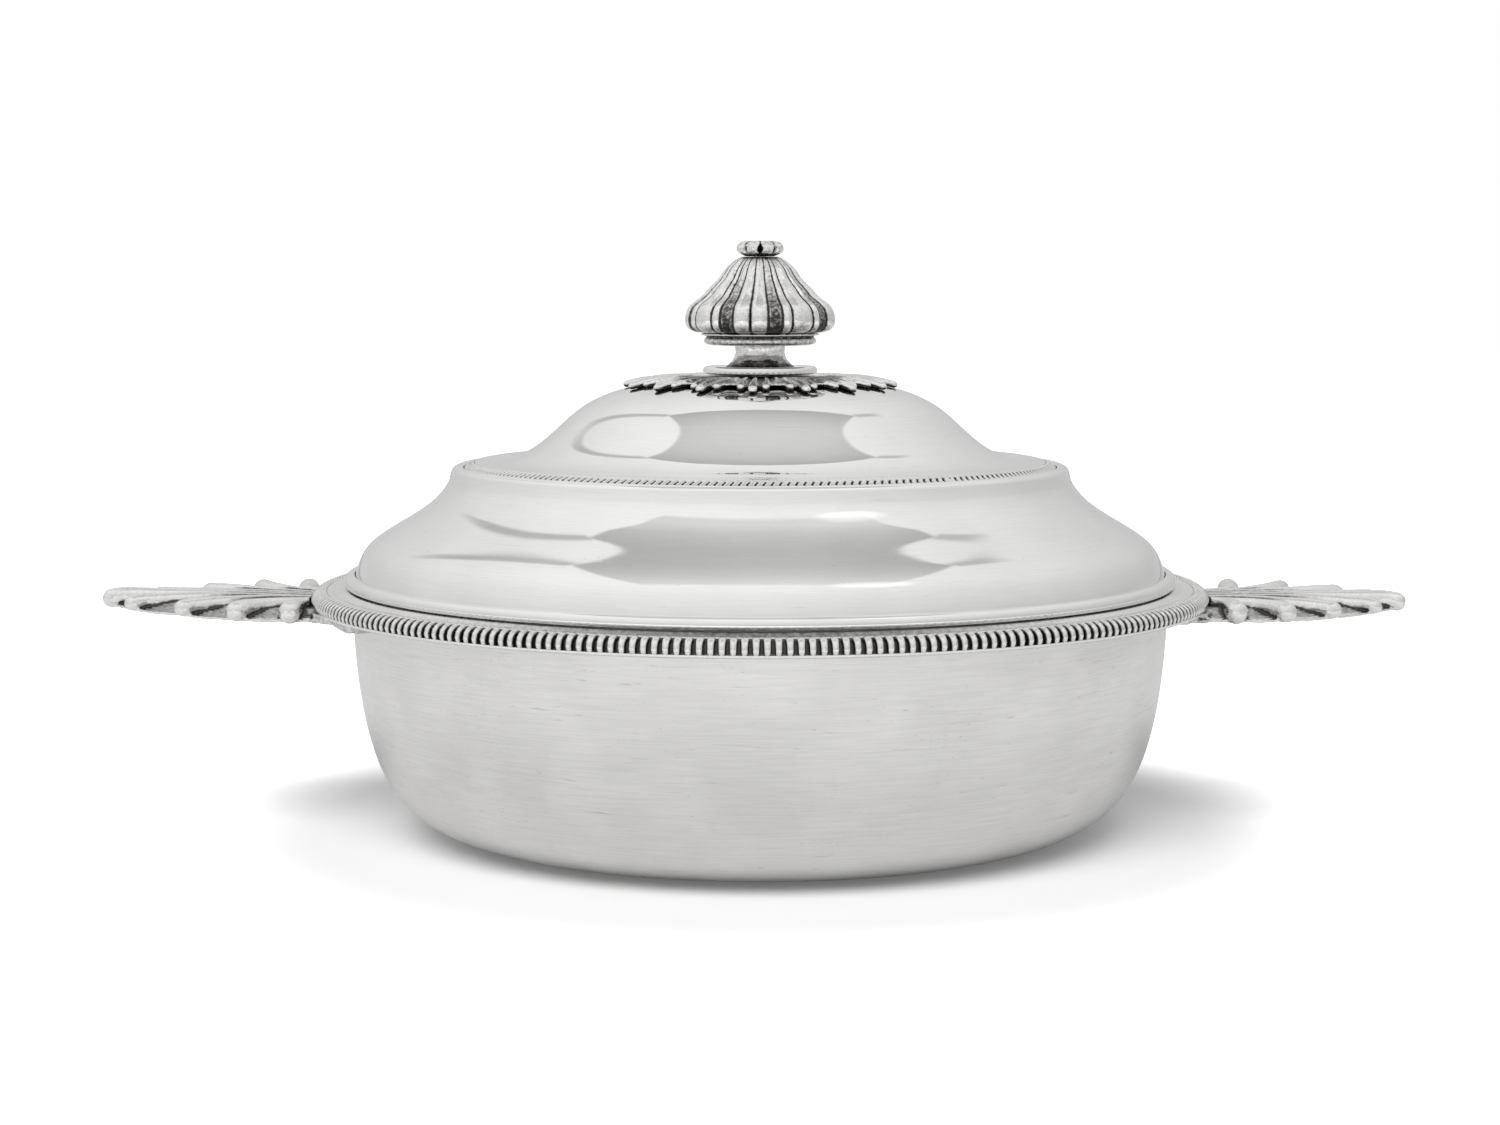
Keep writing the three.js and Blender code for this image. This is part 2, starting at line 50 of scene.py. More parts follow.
# helpers that build shapes


def splineThrough(points, count):
    # a smooth line through measured points, straight at both ends
    points = np.array(points, float)
    steps = np.linalg.norm(np.diff(points, axis=0), axis=1)
    at = np.concatenate([[0], np.cumsum(steps)])
    size = len(at)
    system = np.eye(size)
    pull = np.zeros_like(points)
    for row in range(1, size - 1):
        before, after = steps[row - 1], steps[row]
        system[row, row - 1:row + 2] = before, 2 * (before + after), after
        pull[row] = 6 * ((points[row + 1] - points[row]) / after - (points[row] - points[row - 1]) / before)
    bend = np.linalg.solve(system, pull)
    places = np.linspace(0, at[-1], count)
    index = np.clip(np.searchsorted(at, places, side="right") - 1, 0, size - 2)
    wide = steps[index][:, None]
    left, right = (at[index + 1] - places)[:, None], (places - at[index])[:, None]
    line = (bend[index] * left**3 + bend[index + 1] * right**3) / (6 * wide)
    line += (points[index] / wide - bend[index] * wide / 6) * left
    line += (points[index + 1] / wide - bend[index + 1] * wide / 6) * right
    return [tuple(place) for place in line]


def shifted(line, distance):
    # moves a line sideways, to the left of the way it runs
    points = np.array(line, float)
    run = np.gradient(points, axis=0)
    run /= np.linalg.norm(run, axis=1)[:, None]
    moved = points + np.stack([-run[:, 1], run[:, 0]], axis=1) * distance
    return [tuple(place) for place in moved]


def eased(corners, arcSteps=4):
    # a corner with a third number is rounded off by that much
    line = []
    for index, corner in enumerate(corners):
        here = Vector(corner[:2])
        if len(corner) < 3:
            line.append(tuple(here))
            continue
        start = here + (Vector(corners[index - 1][:2]) - here).normalized() * corner[2]
        end = here + (Vector(corners[(index + 1) % len(corners)][:2]) - here).normalized() * corner[2]
        for step in range(arcSteps + 1):
            share = step / arcSteps
            line.append(tuple(start.lerp(here, share).lerp(here.lerp(end, share), share)))
    return line


def turned(outline, steps):
    # spins a closed outline of (radius, height) about the axis
    bm = bmesh.new()
    corners = [bm.verts.new((radius, 0, height)) for radius, height in outline]
    edges = [bm.edges.new(pair) for pair in zip(corners, corners[1:])]
    if outline[0][0] > 0:
        edges.append(bm.edges.new((corners[-1], corners[0])))
    # one sector is spun and then repeated, which is much quicker than spinning all the steps
    parts = [part for part in range(2, steps) if steps % part == 0]
    sectors = min(parts, key=lambda part: abs(part - steps**0.5))
    around = {"cent": (0, 0, 0), "axis": (0, 0, 1)}
    bmesh.ops.spin(bm, geom=corners + edges, angle=math.tau / sectors, steps=steps // sectors, **around)
    whole = [*bm.verts, *bm.edges, *bm.faces]
    last = math.tau * (sectors - 1) / sectors
    bmesh.ops.spin(bm, geom=whole, angle=last, steps=sectors - 1, use_duplicate=True, **around)
    bmesh.ops.remove_doubles(bm, verts=bm.verts, dist=weldGap)
    bmesh.ops.recalc_face_normals(bm, faces=bm.faces)
    return bm


def polar(vert):
    # a point's angle from the front, its radius and its height
    return math.atan2(vert.co.x, -vert.co.y), math.hypot(vert.co.x, vert.co.y), vert.co.z


def placed(angle, radius, height):
    return radius * math.sin(angle), -radius * math.cos(angle), height


def reshaped(bm, rule):
    # moves each point by a rule from angle, radius and height to new ones
    for vert in bm.verts:
        vert.co = placed(*rule(*polar(vert)))
    return bm


def recessOf(bm):
    layers = bm.verts.layers.float
    return layers.get("recess") or layers.new("recess")


def swayAt(place, scales):
    # slow unevenness with a finer one of half its size on top
    return noise.noise(place * scales[0]) + noise.noise(place * scales[1]) / 2


def limb(bm, line, widths, heights, sides=12, rings=14, caps=(1, 1), shade=None):
    # a rounded finger: a ball drawn out along a line, with its half width and half height along the way,
    # and the lengths in millimetres over which its two ends are rounded
    line = [Vector(place) for place in line]
    recess = recessOf(bm)
    ball = bmesh.ops.create_uvsphere(bm, u_segments=sides, v_segments=rings, radius=1)["verts"]
    last = len(line) - 1
    length = sum((after - before).length for before, after in zip(line, line[1:]))
    wideAt, tallAt = np.linspace(0, 1, len(widths)), np.linspace(0, 1, len(heights))
    sideways = []  # kept on the same side where the line turns
    for index in range(last + 1):
        run = line[min(index + 1, last)] - line[max(index - 1, 0)]
        side = run.cross(Vector((0, 0, 1))).normalized()
        sideways.append(-side if sideways and side.dot(sideways[-1]) < 0 else side)
    for vert in ball:
        lift = max(-1, min(1, vert.co.z))
        ring = math.sqrt(max(0, 1 - lift * lift))
        along = (1 - math.cos(math.asin(lift) + math.pi / 2)) / 2
        place = along * last
        index = min(int(place), last - 1)
        centre = line[index].lerp(line[index + 1], place - index)
        run = (line[min(index + 2, last)] - line[max(index - 1, 0)]).normalized()
        side = sideways[index].lerp(sideways[index + 1], place - index).normalized()
        up = side.cross(run)
        inward = min(1, along * length / caps[0], (1 - along) * length / caps[1])
        full = math.sqrt(max(0, 1 - (1 - inward) ** 2))
        reach = vert.co.xy / max(ring, 1e-6)
        wide, tall = np.interp(along, wideAt, widths), np.interp(along, tallAt, heights)
        vert.co = centre + side * reach.x * wide * full + up * reach.y * tall * full
        if shade:
            vert[recess] = shade(along, reach.y)
    return ball


def linked(name, data):
    made = bpy.data.objects.new(name, data)
    scene.collection.objects.link(made)
    return made


def meshOf(name, bm):
    mesh = bpy.data.meshes.new(name)
    bm.to_mesh(mesh)
    bm.free()
    return mesh


def joinedUp(bm, voxel, rounds):
    # melts overlapping shapes into one skin and smooths it
    mesh = meshOf("melt", bm)
    lump = linked("melt", mesh)
    remesh = lump.modifiers.new("remesh", "REMESH")
    remesh.mode = "VOXEL"
    remesh.voxel_size = voxel
    smooth = lump.modifiers.new("smooth", "SMOOTH")
    smooth.factor, smooth.iterations = 0.5, rounds
    skin = bpy.data.meshes.new_from_object(lump.evaluated_get(bpy.context.evaluated_depsgraph_get()))
    melted = bmesh.new()
    melted.from_mesh(skin)
    bpy.data.objects.remove(lump)
    for spare in (mesh, skin):
        bpy.data.meshes.remove(spare)
    return melted


def pointsOf(data, name):
    values = np.empty(len(data) * 3)
    data.foreach_get(name, values)
    return values.reshape(-1, 3)


def storeRecess(mesh, values):
    mesh.attributes.new("recess", "FLOAT", "POINT").data.foreach_set("value", np.clip(values, 0, 1))


def markRecesses(mesh, reaches, rule):
    # stores how far each point lies below its surroundings, from 0 to 1, or what a rule gives if that is
    # more: each reach is the depth in millimetres that counts as 1 after so many rounds of smoothing
    places, normals = pointsOf(mesh.vertices, "co"), pointsOf(mesh.vertex_normals, "vector")
    count = len(places)
    pairs = np.empty(len(mesh.edges) * 2, int)
    mesh.edges.foreach_get("vertices", pairs)
    here = np.concatenate([pairs[::2], pairs[1::2]])
    there = np.concatenate([pairs[1::2], pairs[::2]])
    near = np.maximum(np.bincount(here, minlength=count), 1)
    soft = places.copy()
    depth = np.zeros(count)
    for step in range(1, max(reaches) + 1):
        soft = np.stack([np.bincount(here, soft[there, axis], count) / near for axis in range(3)], axis=1)
        if step in reaches:
            depth = np.maximum(depth, ((soft - places) * normals).sum(axis=1) / (reaches[step] * mm))
    storeRecess(mesh, np.maximum(depth, rule(*places.T / mm, normals[:, 2])))


def markByHeight(mesh, shape):
    # stores the recess value that a shape gives by height, between two radii
    along, across, height = pointsOf(mesh.vertices, "co").T / mm
    radius = np.hypot(along, across)
    inner, outer = shape["shadeRadii"]
    storeRecess(mesh, np.interp(height, *shape["shades"]) * (radius > inner) * (radius < outer))


def finished(name, bm, body, slot, *nodes, sharpAngle=38):
    bmesh.ops.scale(bm, vec=(mm, mm, mm), verts=bm.verts)
    mesh = meshOf(name, bm)
    mesh.shade_smooth()
    mesh.set_sharp_from_angle(angle=math.radians(sharpAngle))
    mesh.materials.append(finishes[slot])
    piece = linked(name, mesh)
    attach(piece, body)
    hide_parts(*nodes)
    print(name, "made with", len(mesh.polygons), "faces")
    return piece


# finishes


def treeOf(made):
    made.use_nodes = True
    made.node_tree.nodes.clear()
    return made.node_tree


def put(tree, kind, inputs=None, output=0, **settings):
    made = tree.nodes.new("ShaderNode" + kind)
    for name, value in settings.items():
        setattr(made, name, value)
    for socket, value in (inputs or {}).items():
        if isinstance(value, bpy.types.NodeSocket):
            tree.links.new(value, made.inputs[socket])
        else:
            made.inputs[socket].default_value = value
    return made.outputs[output] if made.outputs else made


def parted(tree, vector):
    made = tree.nodes.new("ShaderNodeSeparateXYZ")
    tree.links.new(vector, made.inputs[0])
    return tuple(made.outputs)


def calc(tree, operation, first, second=0.0, third=0.0):
    return put(tree, "Math", {0: first, 1: second, 2: third}, operation=operation)


def scaled(tree, value, factor, base):
    return calc(tree, "MULTIPLY_ADD", value, factor, base)


def product(tree, first, *others):
    for other in others:
        first = calc(tree, "MULTIPLY", first, other)
    return first


def ramp(tree, value, low, high, start=0.0, end=1.0):
    inputs = {0: value, 1: low, 2: high, 3: start, 4: end}
    return put(tree, "MapRange", inputs, interpolation_type="SMOOTHSTEP")


def clouded(tree, place, scale, detail, roughness=0.5):
    inputs = {"Vector": place, "Scale": scale, "Detail": detail, "Roughness": roughness}
    return put(tree, "TexNoise", inputs)


def varied(tree, value, amount):
    # about 1, up and down by an amount as a noise goes from low to high
    return ramp(tree, value, 0.3, 0.7, 1 - amount, 1 + amount)


def silver(name, look):
    made = bpy.data.materials.new(name)
    tree = treeOf(made)
    objectPlace = put(tree, "TexCoord", output="Object")
    place = put(tree, "VectorMath", {0: objectPlace, "Scale": 1 / mm}, operation="SCALE")
    x, y, z = parted(tree, place)
    radius = calc(tree, "SQRT", scaled(tree, x, x, product(tree, y, y)))

    # polishing rings: long round the axis, thin along the profile
    profile = scaled(tree, radius, look["ringSlope"], z)
    stretched = [product(tree, x, look["ringAlong"]), product(tree, y, look["ringAlong"])]
    stretched.append(product(tree, profile, look["ringAcross"]))
    ringPlace = put(tree, "CombineXYZ", dict(enumerate(stretched)))
    rings = clouded(tree, ringPlace, 1, 4, 0.62)
    clouds = clouded(tree, place, look["cloudScale"], 3)
    patches = clouded(tree, place, look["patchScale"], 2)
    grain = clouded(tree, place, look["grainScale"], 4, 0.65)

    # pits: small drawn-out cells, kept to patches
    pitPlace = put(tree, "VectorMath", {0: ringPlace, 1: look["pitStretch"]}, operation="MULTIPLY")
    cells = put(tree, "TexVoronoi", {"Vector": pitPlace, "Scale": 1, "Randomness": 1})
    pitChance = ramp(tree, patches, look["pitPatch"], look["pitPatch"] + look["pitFade"])
    pitGrain = ramp(tree, grain, *look["pitGrain"])
    pits = product(tree, ramp(tree, cells, look["pitSize"], 0.0), pitChance, pitGrain)

    # hairlines: thin contour lines of a drawn-out noise in three directions
    hairs = 0.0
    for order, (turn, tilt) in enumerate(look["hairTurns"]):
        inputs = {"Vector": place, "Location": (order * 7.3, order * 3.1, 0)}
        inputs |= {"Rotation": (tilt, turn, 0), "Scale": look["hairStretch"]}
        across = put(tree, "Mapping", inputs)
        drift = clouded(tree, across, 1, 1.5, 0.4)
        line = ramp(tree, calc(tree, "ABSOLUTE", calc(tree, "SUBTRACT", drift, 0.5)), look["hairWidth"], 0.0)
        line = product(tree, line, ramp(tree, clouded(tree, across, 3, 1), *look["hairBreaks"]))
        hairs = calc(tree, "MAXIMUM", line, hairs)

    # dirt and painted shade: in the recesses, broken up by a fine noise
    recess = put(tree, "Attribute", output="Fac", attribute_name="recess", attribute_type="GEOMETRY")
    mottle = clouded(tree, place, look["mottleScale"], 5, 0.7)
    dirtAndShade = scaled(tree, calc(tree, "SUBTRACT", mottle, 0.5), look["mottle"], recess)
    dirtAndShade = ramp(tree, dirtAndShade, look["dirtAndShadeFrom"], look["dirtAndShadeTo"])

    tone = product(
        tree,
        varied(tree, rings, look["streak"]),
        varied(tree, clouds, look["cloud"]),
        varied(tree, grain, look["grainTone"]),
        scaled(tree, pits, -look["pitDark"], 1),
        scaled(tree, hairs, -look["hairDark"], 1),
    )
    bright = put(tree, "VectorMath", {0: look["bright"], "Scale": tone}, operation="SCALE")
    inputs = {"Factor": dirtAndShade, 6: bright, 7: (*look["dark"], 1)}
    colour = put(tree, "Mix", inputs, output=2, data_type="RGBA")

    rough = look["roughness"] - (look["roughSpread"] + look["ringRough"]) / 2
    spreads = [(clouds, "roughSpread"), (rings, "ringRough"), (pits, "pitRough"), (dirtAndShade, "dirtAndShadeRough")]
    for pattern, amount in spreads:
        rough = scaled(tree, pattern, look[amount], rough)

    height = 0.0
    depths = [(rings, look["ringDepth"]), (pits, -look["pitDepth"]), (hairs, -look["hairDepth"])]
    for pattern, depth in [*depths, (grain, look["grainDepth"]), (clouds, look["waveDepth"])]:
        height = scaled(tree, pattern, depth, height)
    normal = put(tree, "Bump", {"Strength": 1, "Distance": mm, "Height": height})

    inputs = {"Base Color": colour, "Metallic": 1, "Roughness": rough, "Normal": normal}
    put(tree, "OutputMaterial", {"Surface": put(tree, "BsdfPrincipled", inputs)})
    return made


plainLook = {
    "bright": (0.80, 0.795, 0.785),
    "dark": (0.035, 0.034, 0.033),
    "roughness": 0.3,
    "roughSpread": 0.08,
    "ringSlope": 1,
    "ringAlong": 0.09,
    "ringAcross": 2.0,
    "ringDepth": 0.002,
    "ringRough": 0.06,
    "streak": 0.03,
    "cloudScale": 0.06,
    "cloud": 0.02,
    "waveDepth": 0.0,
    "patchScale": 0.045,
    "grainScale": 2.2,
    "grainTone": 0.01,
    "grainDepth": 0.002,
    "pitStretch": (6, 6, 0.8),
    "pitPatch": 0.5,
    "pitFade": 0.16,
    "pitGrain": (0.46, 0.62),
    "pitSize": 0.24,
    "pitDark": 0.35,
    "pitDepth": 0.01,
    "pitRough": 0.2,
    "hairTurns": [(0.2, 0.1), (1.2, 0.4), (0.5, 1.3)],
    "hairStretch": (0.02, 0.02, 0.55),
    "hairBreaks": (0.55, 0.66),
    "hairWidth": 0.004,
    "hairDark": 0.18,
    "hairDepth": 0.003,
    "mottleScale": 0.9,
    "mottle": 0.3,
    "dirtAndShadeFrom": 0.25,
    "dirtAndShadeTo": 0.75,
    "dirtAndShadeRough": 0.25,
}
satinLook = plainLook | {
    "bright": (0.75, 0.745, 0.738),
    "roughness": 0.34,
    "streak": 0.04,
    "cloud": 0.035,
    "pitPatch": 0.47,
    "pitDark": 0.5,
    "hairDark": 0.24,
    "hairWidth": 0.005,
}
polishedLook = plainLook | {
    "bright": (0.85, 0.847, 0.84),
    "roughness": 0.05,
    "roughSpread": 0.04,
    "ringSlope": -1,
    "ringDepth": 0.0004,
    "ringRough": 0.03,
    "streak": 0.02,
    "grainDepth": 0.0,
    "pitDepth": 0.004,
    "pitPatch": 0.56,
    "hairDepth": 0.001,
    "hairDark": 0.1,
    "waveDepth": 0.02,
}
castLook = plainLook | {
    "bright": (0.79, 0.785, 0.775),
    "dark": (0.085, 0.083, 0.08),
    "roughness": 0.25,
    "grainDepth": 0.012,
    "grainScale": 1.4,
    "grainTone": 0.05,
    "pitStretch": (12, 12, 0.8),
    "pitDark": 0.6,
    "pitPatch": 0.45,
    "mottle": 0.5,
}
patinatedLook = plainLook | {
    "bright": (0.8, 0.795, 0.785),
    "dark": (0.05, 0.048, 0.046),
    "roughness": 0.16,
    "grainDepth": 0.016,
    "grainScale": 1.6,
    "grainTone": 0.12,
    "pitStretch": (14, 14, 0.9),
    "pitDark": 0.75,
    "pitPatch": 0.35,
    "pitSize": 0.32,
    "mottleScale": 1.3,
    "mottle": 0.9,
    "dirtAndShadeFrom": 0.3,
    "dirtAndShadeTo": 0.7,
}
milledLook = plainLook | {"roughness": 0.22, "ringSlope": -1}
fixingLook = plainLook | {
    "bright": (0.5, 0.49, 0.48),
    "roughness": 0.38,
    "ringAcross": 5.0,
    "ringDepth": 0.006,
}

finishes = {
    "satin_silver": silver("satinSilver", satinLook),
    "polished_silver": silver("polishedSilver", polishedLook),
    "cast_silver": silver("castSilver", castLook),
    "milled_silver": silver("milledSilver", milledLook),
    "patinated_silver": silver("patinatedSilver", patinatedLook),
    "fixing_metal": silver("fixingMetal", fixingLook),
}
print("finishes made")

# the bowl

bowlShape = {
    "flatRadius": 50,
    "wallRadius": 92.8,
    "mouthHeight": 56.7,
    "turnHeight": 45.9,  # where the belly's curve meets the straight wall
    "pulls": [(77.8, 0), (90.2, 3.2)],  # of the belly's curve
    "bellySteps": 56,
    "wallSteps": 8,
    "flatSteps": 12,
    "sheet": 1.4,
    "lipEase": 0.5,
    "steps": 224,
    "handWave": 0.03,  # unevenness left by raising the bowl by hand
    "waveScales": (0.045, 0.11),
    "waveSpan": (0.5, 50.7),
}


def makeBowl(shape):
    ends = Vector((shape["flatRadius"], 0)), Vector((shape["wallRadius"], shape["turnHeight"]))
    pulls = [Vector(pull) for pull in shape["pulls"]]
    outside = []
    for step in range(shape["bellySteps"] + 1):
        share = step / shape["bellySteps"]
        first = ends[0].lerp(pulls[0], share)
        middle = pulls[0].lerp(pulls[1], share)
        last = pulls[1].lerp(ends[1], share)
        outside.append(tuple(first.lerp(middle, share).lerp(middle.lerp(last, share), share)))
    rise = (shape["mouthHeight"] - shape["turnHeight"]) / shape["wallSteps"]
    wall = range(1, shape["wallSteps"] + 1)
    outside += [(shape["wallRadius"], shape["turnHeight"] + rise * part) for part in wall]
    inside = shifted(outside, shape["sheet"])[::-1]
    ease = shape["lipEase"]
    lip = eased([outside[-2], (*outside[-1], ease), (inside[0][0], outside[-1][1], ease), inside[1]])
    flats = [(shape["flatRadius"] * part / shape["flatSteps"], 0) for part in range(shape["flatSteps"])]
    inner = [(radius, shape["sheet"]) for radius, _ in flats[::-1]]
    bm = turned([*flats, *outside[:-2], *lip, *inside[2:], *inner], shape["steps"])
    low, high = shape["waveSpan"]
    for vert in bm.verts:
        if low < vert.co.z < high:
            sway = swayAt(vert.co, shape["waveScales"]) - 0.5
            vert.co += Vector((vert.co.x, vert.co.y, 0)).normalized() * sway * shape["handWave"]
    return bm


finished("bowl", makeBowl(bowlShape), "bowl", "satin_silver", "bowl_body")

# the ribbed moulding round the mouth

rimShape = {
    "ribCount": 286,
    "ribLine": [
        (98.7, 56.05), (99.6, 56.15), (100.5, 55.88), (101.2, 55.3), (101.55, 54.6), (101.5, 53.9),
        (101.15, 53.2),
    ],
    "ribWidths": [1.05, 0.98, 0.89, 0.83, 0.79, 0.75, 0.71],
    "ribDepths": [0.5, 0.56, 0.62, 0.66, 0.68, 0.66, 0.6],
    "ribEnds": (0.9, 0.5),
    "core": [
        (92.83, 52.5), (99.3, 52.5, 0.3), (101.3, 52.55, 0.3), (101.85, 52.85, 0.2), (101.85, 53.35, 0.12),
        (101.0, 53.42, 0.1), (100.9, 53.9), (101.0, 54.6), (100.8, 55.2), (100.3, 55.6), (99.6, 55.85),
        (98.95, 56.1), (98.5, 56.4), (98.15, 56.5), (97.7, 56.36), (97.2, 56.18), (96.7, 56.1), (96.2, 56.2),
        (95.7, 56.48), (95.35, 56.78), (95.1, 56.98), (94.85, 57.0), (92.83, 56.8),
    ],
    # painted shade by radius: the channel inside the crest is darkened for the shade and dark reflections it
    # shows, less of it at the sides; the grooves under the ribs get dirt and painted shade; none on the foot
    # and the bore
    "shadeAt": [95.0, 95.6, 96.8, 97.8, 98.4, 98.7, 99.0],
    "shades": [0.62, 0.56, 0.56, 0.5, 0, 0.5, 1],
    "crest": 98.5,
    "sideShade": 0.25,
    "plainBelow": 53.45,
    "plainInside": 94,
}


def ribShade(along, rise):
    # dirt and painted shade on the ribs' flanks; their tops and their inner ends are left bright
    return max(0, min(1, 1.1 - rise)) * (along > 0.04)


def makeRim(shape):
    count = shape["ribCount"]
    bm = turned(eased(shape["core"]), count)
    recess = recessOf(bm)
    even = shape["sideShade"]
    for vert in bm.verts:
        radius, height = polar(vert)[1:]
        vert[recess] = float(np.interp(radius, shape["shadeAt"], shape["shades"]))
        # painted shade and reflection in the channel, dark at the front and back and lighter at the sides
        if radius < shape["crest"]:
            vert[recess] *= even + (1 - even) * abs(vert.co.y / radius) ** 3
        if height < shape["plainBelow"] or radius < shape["plainInside"]:
            vert[recess] = 0
    line = [(radius, 0, height) for radius, height in splineThrough(shape["ribLine"], 16)]
    # a limb's width runs across the line and level, which is along the rim here
    fullness = shape["ribWidths"], shape["ribDepths"]
    rib = limb(bm, line, *fullness, sides=8, rings=9, caps=shape["ribEnds"], shade=ribShade)
    ribVerts = set(rib)
    around = [face for face in bm.faces if face.verts[0] in ribVerts]
    bmesh.ops.spin(
        bm, geom=rib + around, cent=(0, 0, 0), axis=(0, 0, 1), angle=math.tau * (count - 1) / count,
        steps=count - 1, use_duplicate=True,
    )
    return bm


finished("rimMoulding", makeRim(rimShape), "bowl", "cast_silver", "rim_gadroon", sharpAngle=60)

# the cover

domeLine = [
    (0, 103.2), (8, 103.185), (15, 103.06), (21, 102.74), (26, 102.22), (30, 101.53), (33.5, 100.6),
    (36.5, 99.44), (39.5, 97.9), (42.5, 95.79), (45.5, 93.13), (48.5, 90.42), (51.5, 88.09), (54.5, 86.45),
    (57.5, 85.45), (60.5, 84.97), (62.5, 84.9),
]
shoulderLine = [
    (71.0, 80.7), (71.4, 79.94), (72.0, 79.0), (72.8, 77.97), (73.8, 76.88), (75.0, 75.72), (76.4, 74.63),
    (78.2, 73.39), (80.3, 72.08), (82.5, 70.77), (84.6, 69.5), (86.4, 68.36), (87.9, 67.28), (89.1, 66.24),
    (90.1, 65.08), (90.9, 63.73), (91.6, 62.1), (92.15, 60.4), (92.5, 58.7), (92.7, 57.0),
]
coverShape = {
    "studHole": 2.15,
    "stepRadius": 65.2,
    "stepHeight": 84.9,
    "bevelRadius": 67.55,
    "bevelHeight": 83.6,
    "channelDepth": 0.95,
    "lip": [(67.75, 83.75, 0.1), (68.9, 84.15, 0.5), (70.3, 83.5, 0.7)],
    "sheet": 1.2,
    "steps": 224,
    "handWave": 0.02,
    "waveScales": (0.05, 0.13),
    # no unevenness under the rosette, round the step and at the edge
    "trueCentre": 14,
    "trueStep": (68, 4.5),
    "trueBelow": 61,
}


def makeCover(shape):
    dome = splineThrough(domeLine, 72)
    hole = shape["studHole"]
    dome = [(hole, dome[2][1]), *(place for place in dome if place[0] > hole + 0.5)]
    shoulder = splineThrough(shoulderLine, 46)
    step, high, deep = shape["stepRadius"], shape["stepHeight"], shape["channelDepth"]
    low, bevelLow = high - deep, shape["bevelHeight"] - deep
    bevel = shape["bevelRadius"]
    corners = [dome[-1], (step, high, 0.15), (step, low), (bevel + 0.1, bevelLow), *shape["lip"], shoulder[0]]
    outside = [*dome, *eased(corners)[1:-1], *shoulder]
    skin = [*dome, (step - 0.3, low), (bevel + 0.3, bevelLow), *shoulder]
    inside = shifted(skin, -shape["sheet"])
    inside[-1] = (inside[-1][0], shoulder[-1][1])
    bm = turned([*outside, *inside[::-1]], shape["steps"])
    around, reach = shape["trueStep"]
    for vert in bm.verts:
        flat = vert.co.xy.length
        if flat > shape["trueCentre"] and abs(flat - around) > reach and vert.co.z > shape["trueBelow"]:
            vert.co.z += (swayAt(vert.co, shape["waveScales"]) - 0.6) * shape["handWave"]
    return bm


finished("cover", makeCover(coverShape), "cover", "polished_silver", "cover_shell")

bandShape = {
    "outline": [
        (92.83, 57.1), (94.3, 57.2, 0.3), (94.78, 57.75, 0.35), (94.78, 58.7, 0.5), (94.2, 59.75, 0.6),
        (92.95, 60.0), (92.5, 59.95, 0.05), (92.42, 59.6),
    ],
    "steps": 224,
}
band = turned(eased(bandShape["outline"]), bandShape["steps"])
finished("coverEdgeBand", band, "cover", "polished_silver", "cover_edge_band")

bezelShape = {
    "outer": 90.85,
    "inner": 89.65,
    "leadIn": (0.5, 1.2),  # how far its lower edge is drawn in, and over what height
    "steps": 160,
}


def makeBezel(shape):
    low, high = (corner.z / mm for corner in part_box("cover_bezel"))
    outer, inner = shape["outer"], shape["inner"]
    back, rise = shape["leadIn"]
    corners = [
        (inner, low, 0.2), (outer - back, low, 0.25), (outer, low + rise, 0.4),
        (outer, high - 0.2, 0.1), (outer - 0.25, high, 0.1), (inner, high, 0.2),
    ]
    return turned(eased(corners), shape["steps"])


finished("coverBezel", makeBezel(bezelShape), "cover_seat", "satin_silver", "cover_bezel")

milledShape = {
    "notchCount": 248,
    "notchDepths": [0, 0, 0.14, 0.4, 0.26, 0.04, 0, 0],
    "outline": [
        (65.32, 84.0), (65.32, 84.86, 0.06), (65.7, 84.74), (66.0, 84.6), (66.3, 84.44), (66.6, 84.27),
        (66.9, 84.08), (67.2, 83.88), (67.5, 83.66, 0.08), (67.5, 82.82),
    ],
    "notchFrom": 65.62,
    "notchTo": 67.1,
    "notchBelow": 83.4,  # no notches under this height
    "slant": 1.6,  # steps round that a notch moves from its middle to its end
    "inward": 0.4,  # how far a notch goes inwards for each millimetre down
    "seamAngle": 36.4,
    "seamWidth": 0.5,
}


def makeMilledBand(shape):
    depths = shape["notchDepths"]
    steps = shape["notchCount"] * len(depths)
    bm = turned(eased(shape["outline"], 2), steps)
    recess = recessOf(bm)
    middle = (shape["notchFrom"] + shape["notchTo"]) / 2
    half = (shape["notchTo"] - shape["notchFrom"]) / 2
    for vert in bm.verts:
        angle, radius, height = polar(vert)
        order = round(angle / math.tau * steps + (radius - middle) / half * shape["slant"]) % len(depths)
        share = max(0, 1 - ((radius - middle) / half) ** 4)
        atSeam = abs(math.degrees(angle) - shape["seamAngle"]) < shape["seamWidth"]
        if height < shape["notchBelow"] or atSeam:
            share = 0
        depth = depths[order] * share
        vert[recess] = min(1, depth * 4)
        vert.co.xy *= 1 - depth * shape["inward"] / radius
        vert.co.z -= depth
    return bm


milled = makeMilledBand(milledShape)
finished("milledBand", milled, "cover", "milled_silver", "milled_band", sharpAngle=50)

# the handles

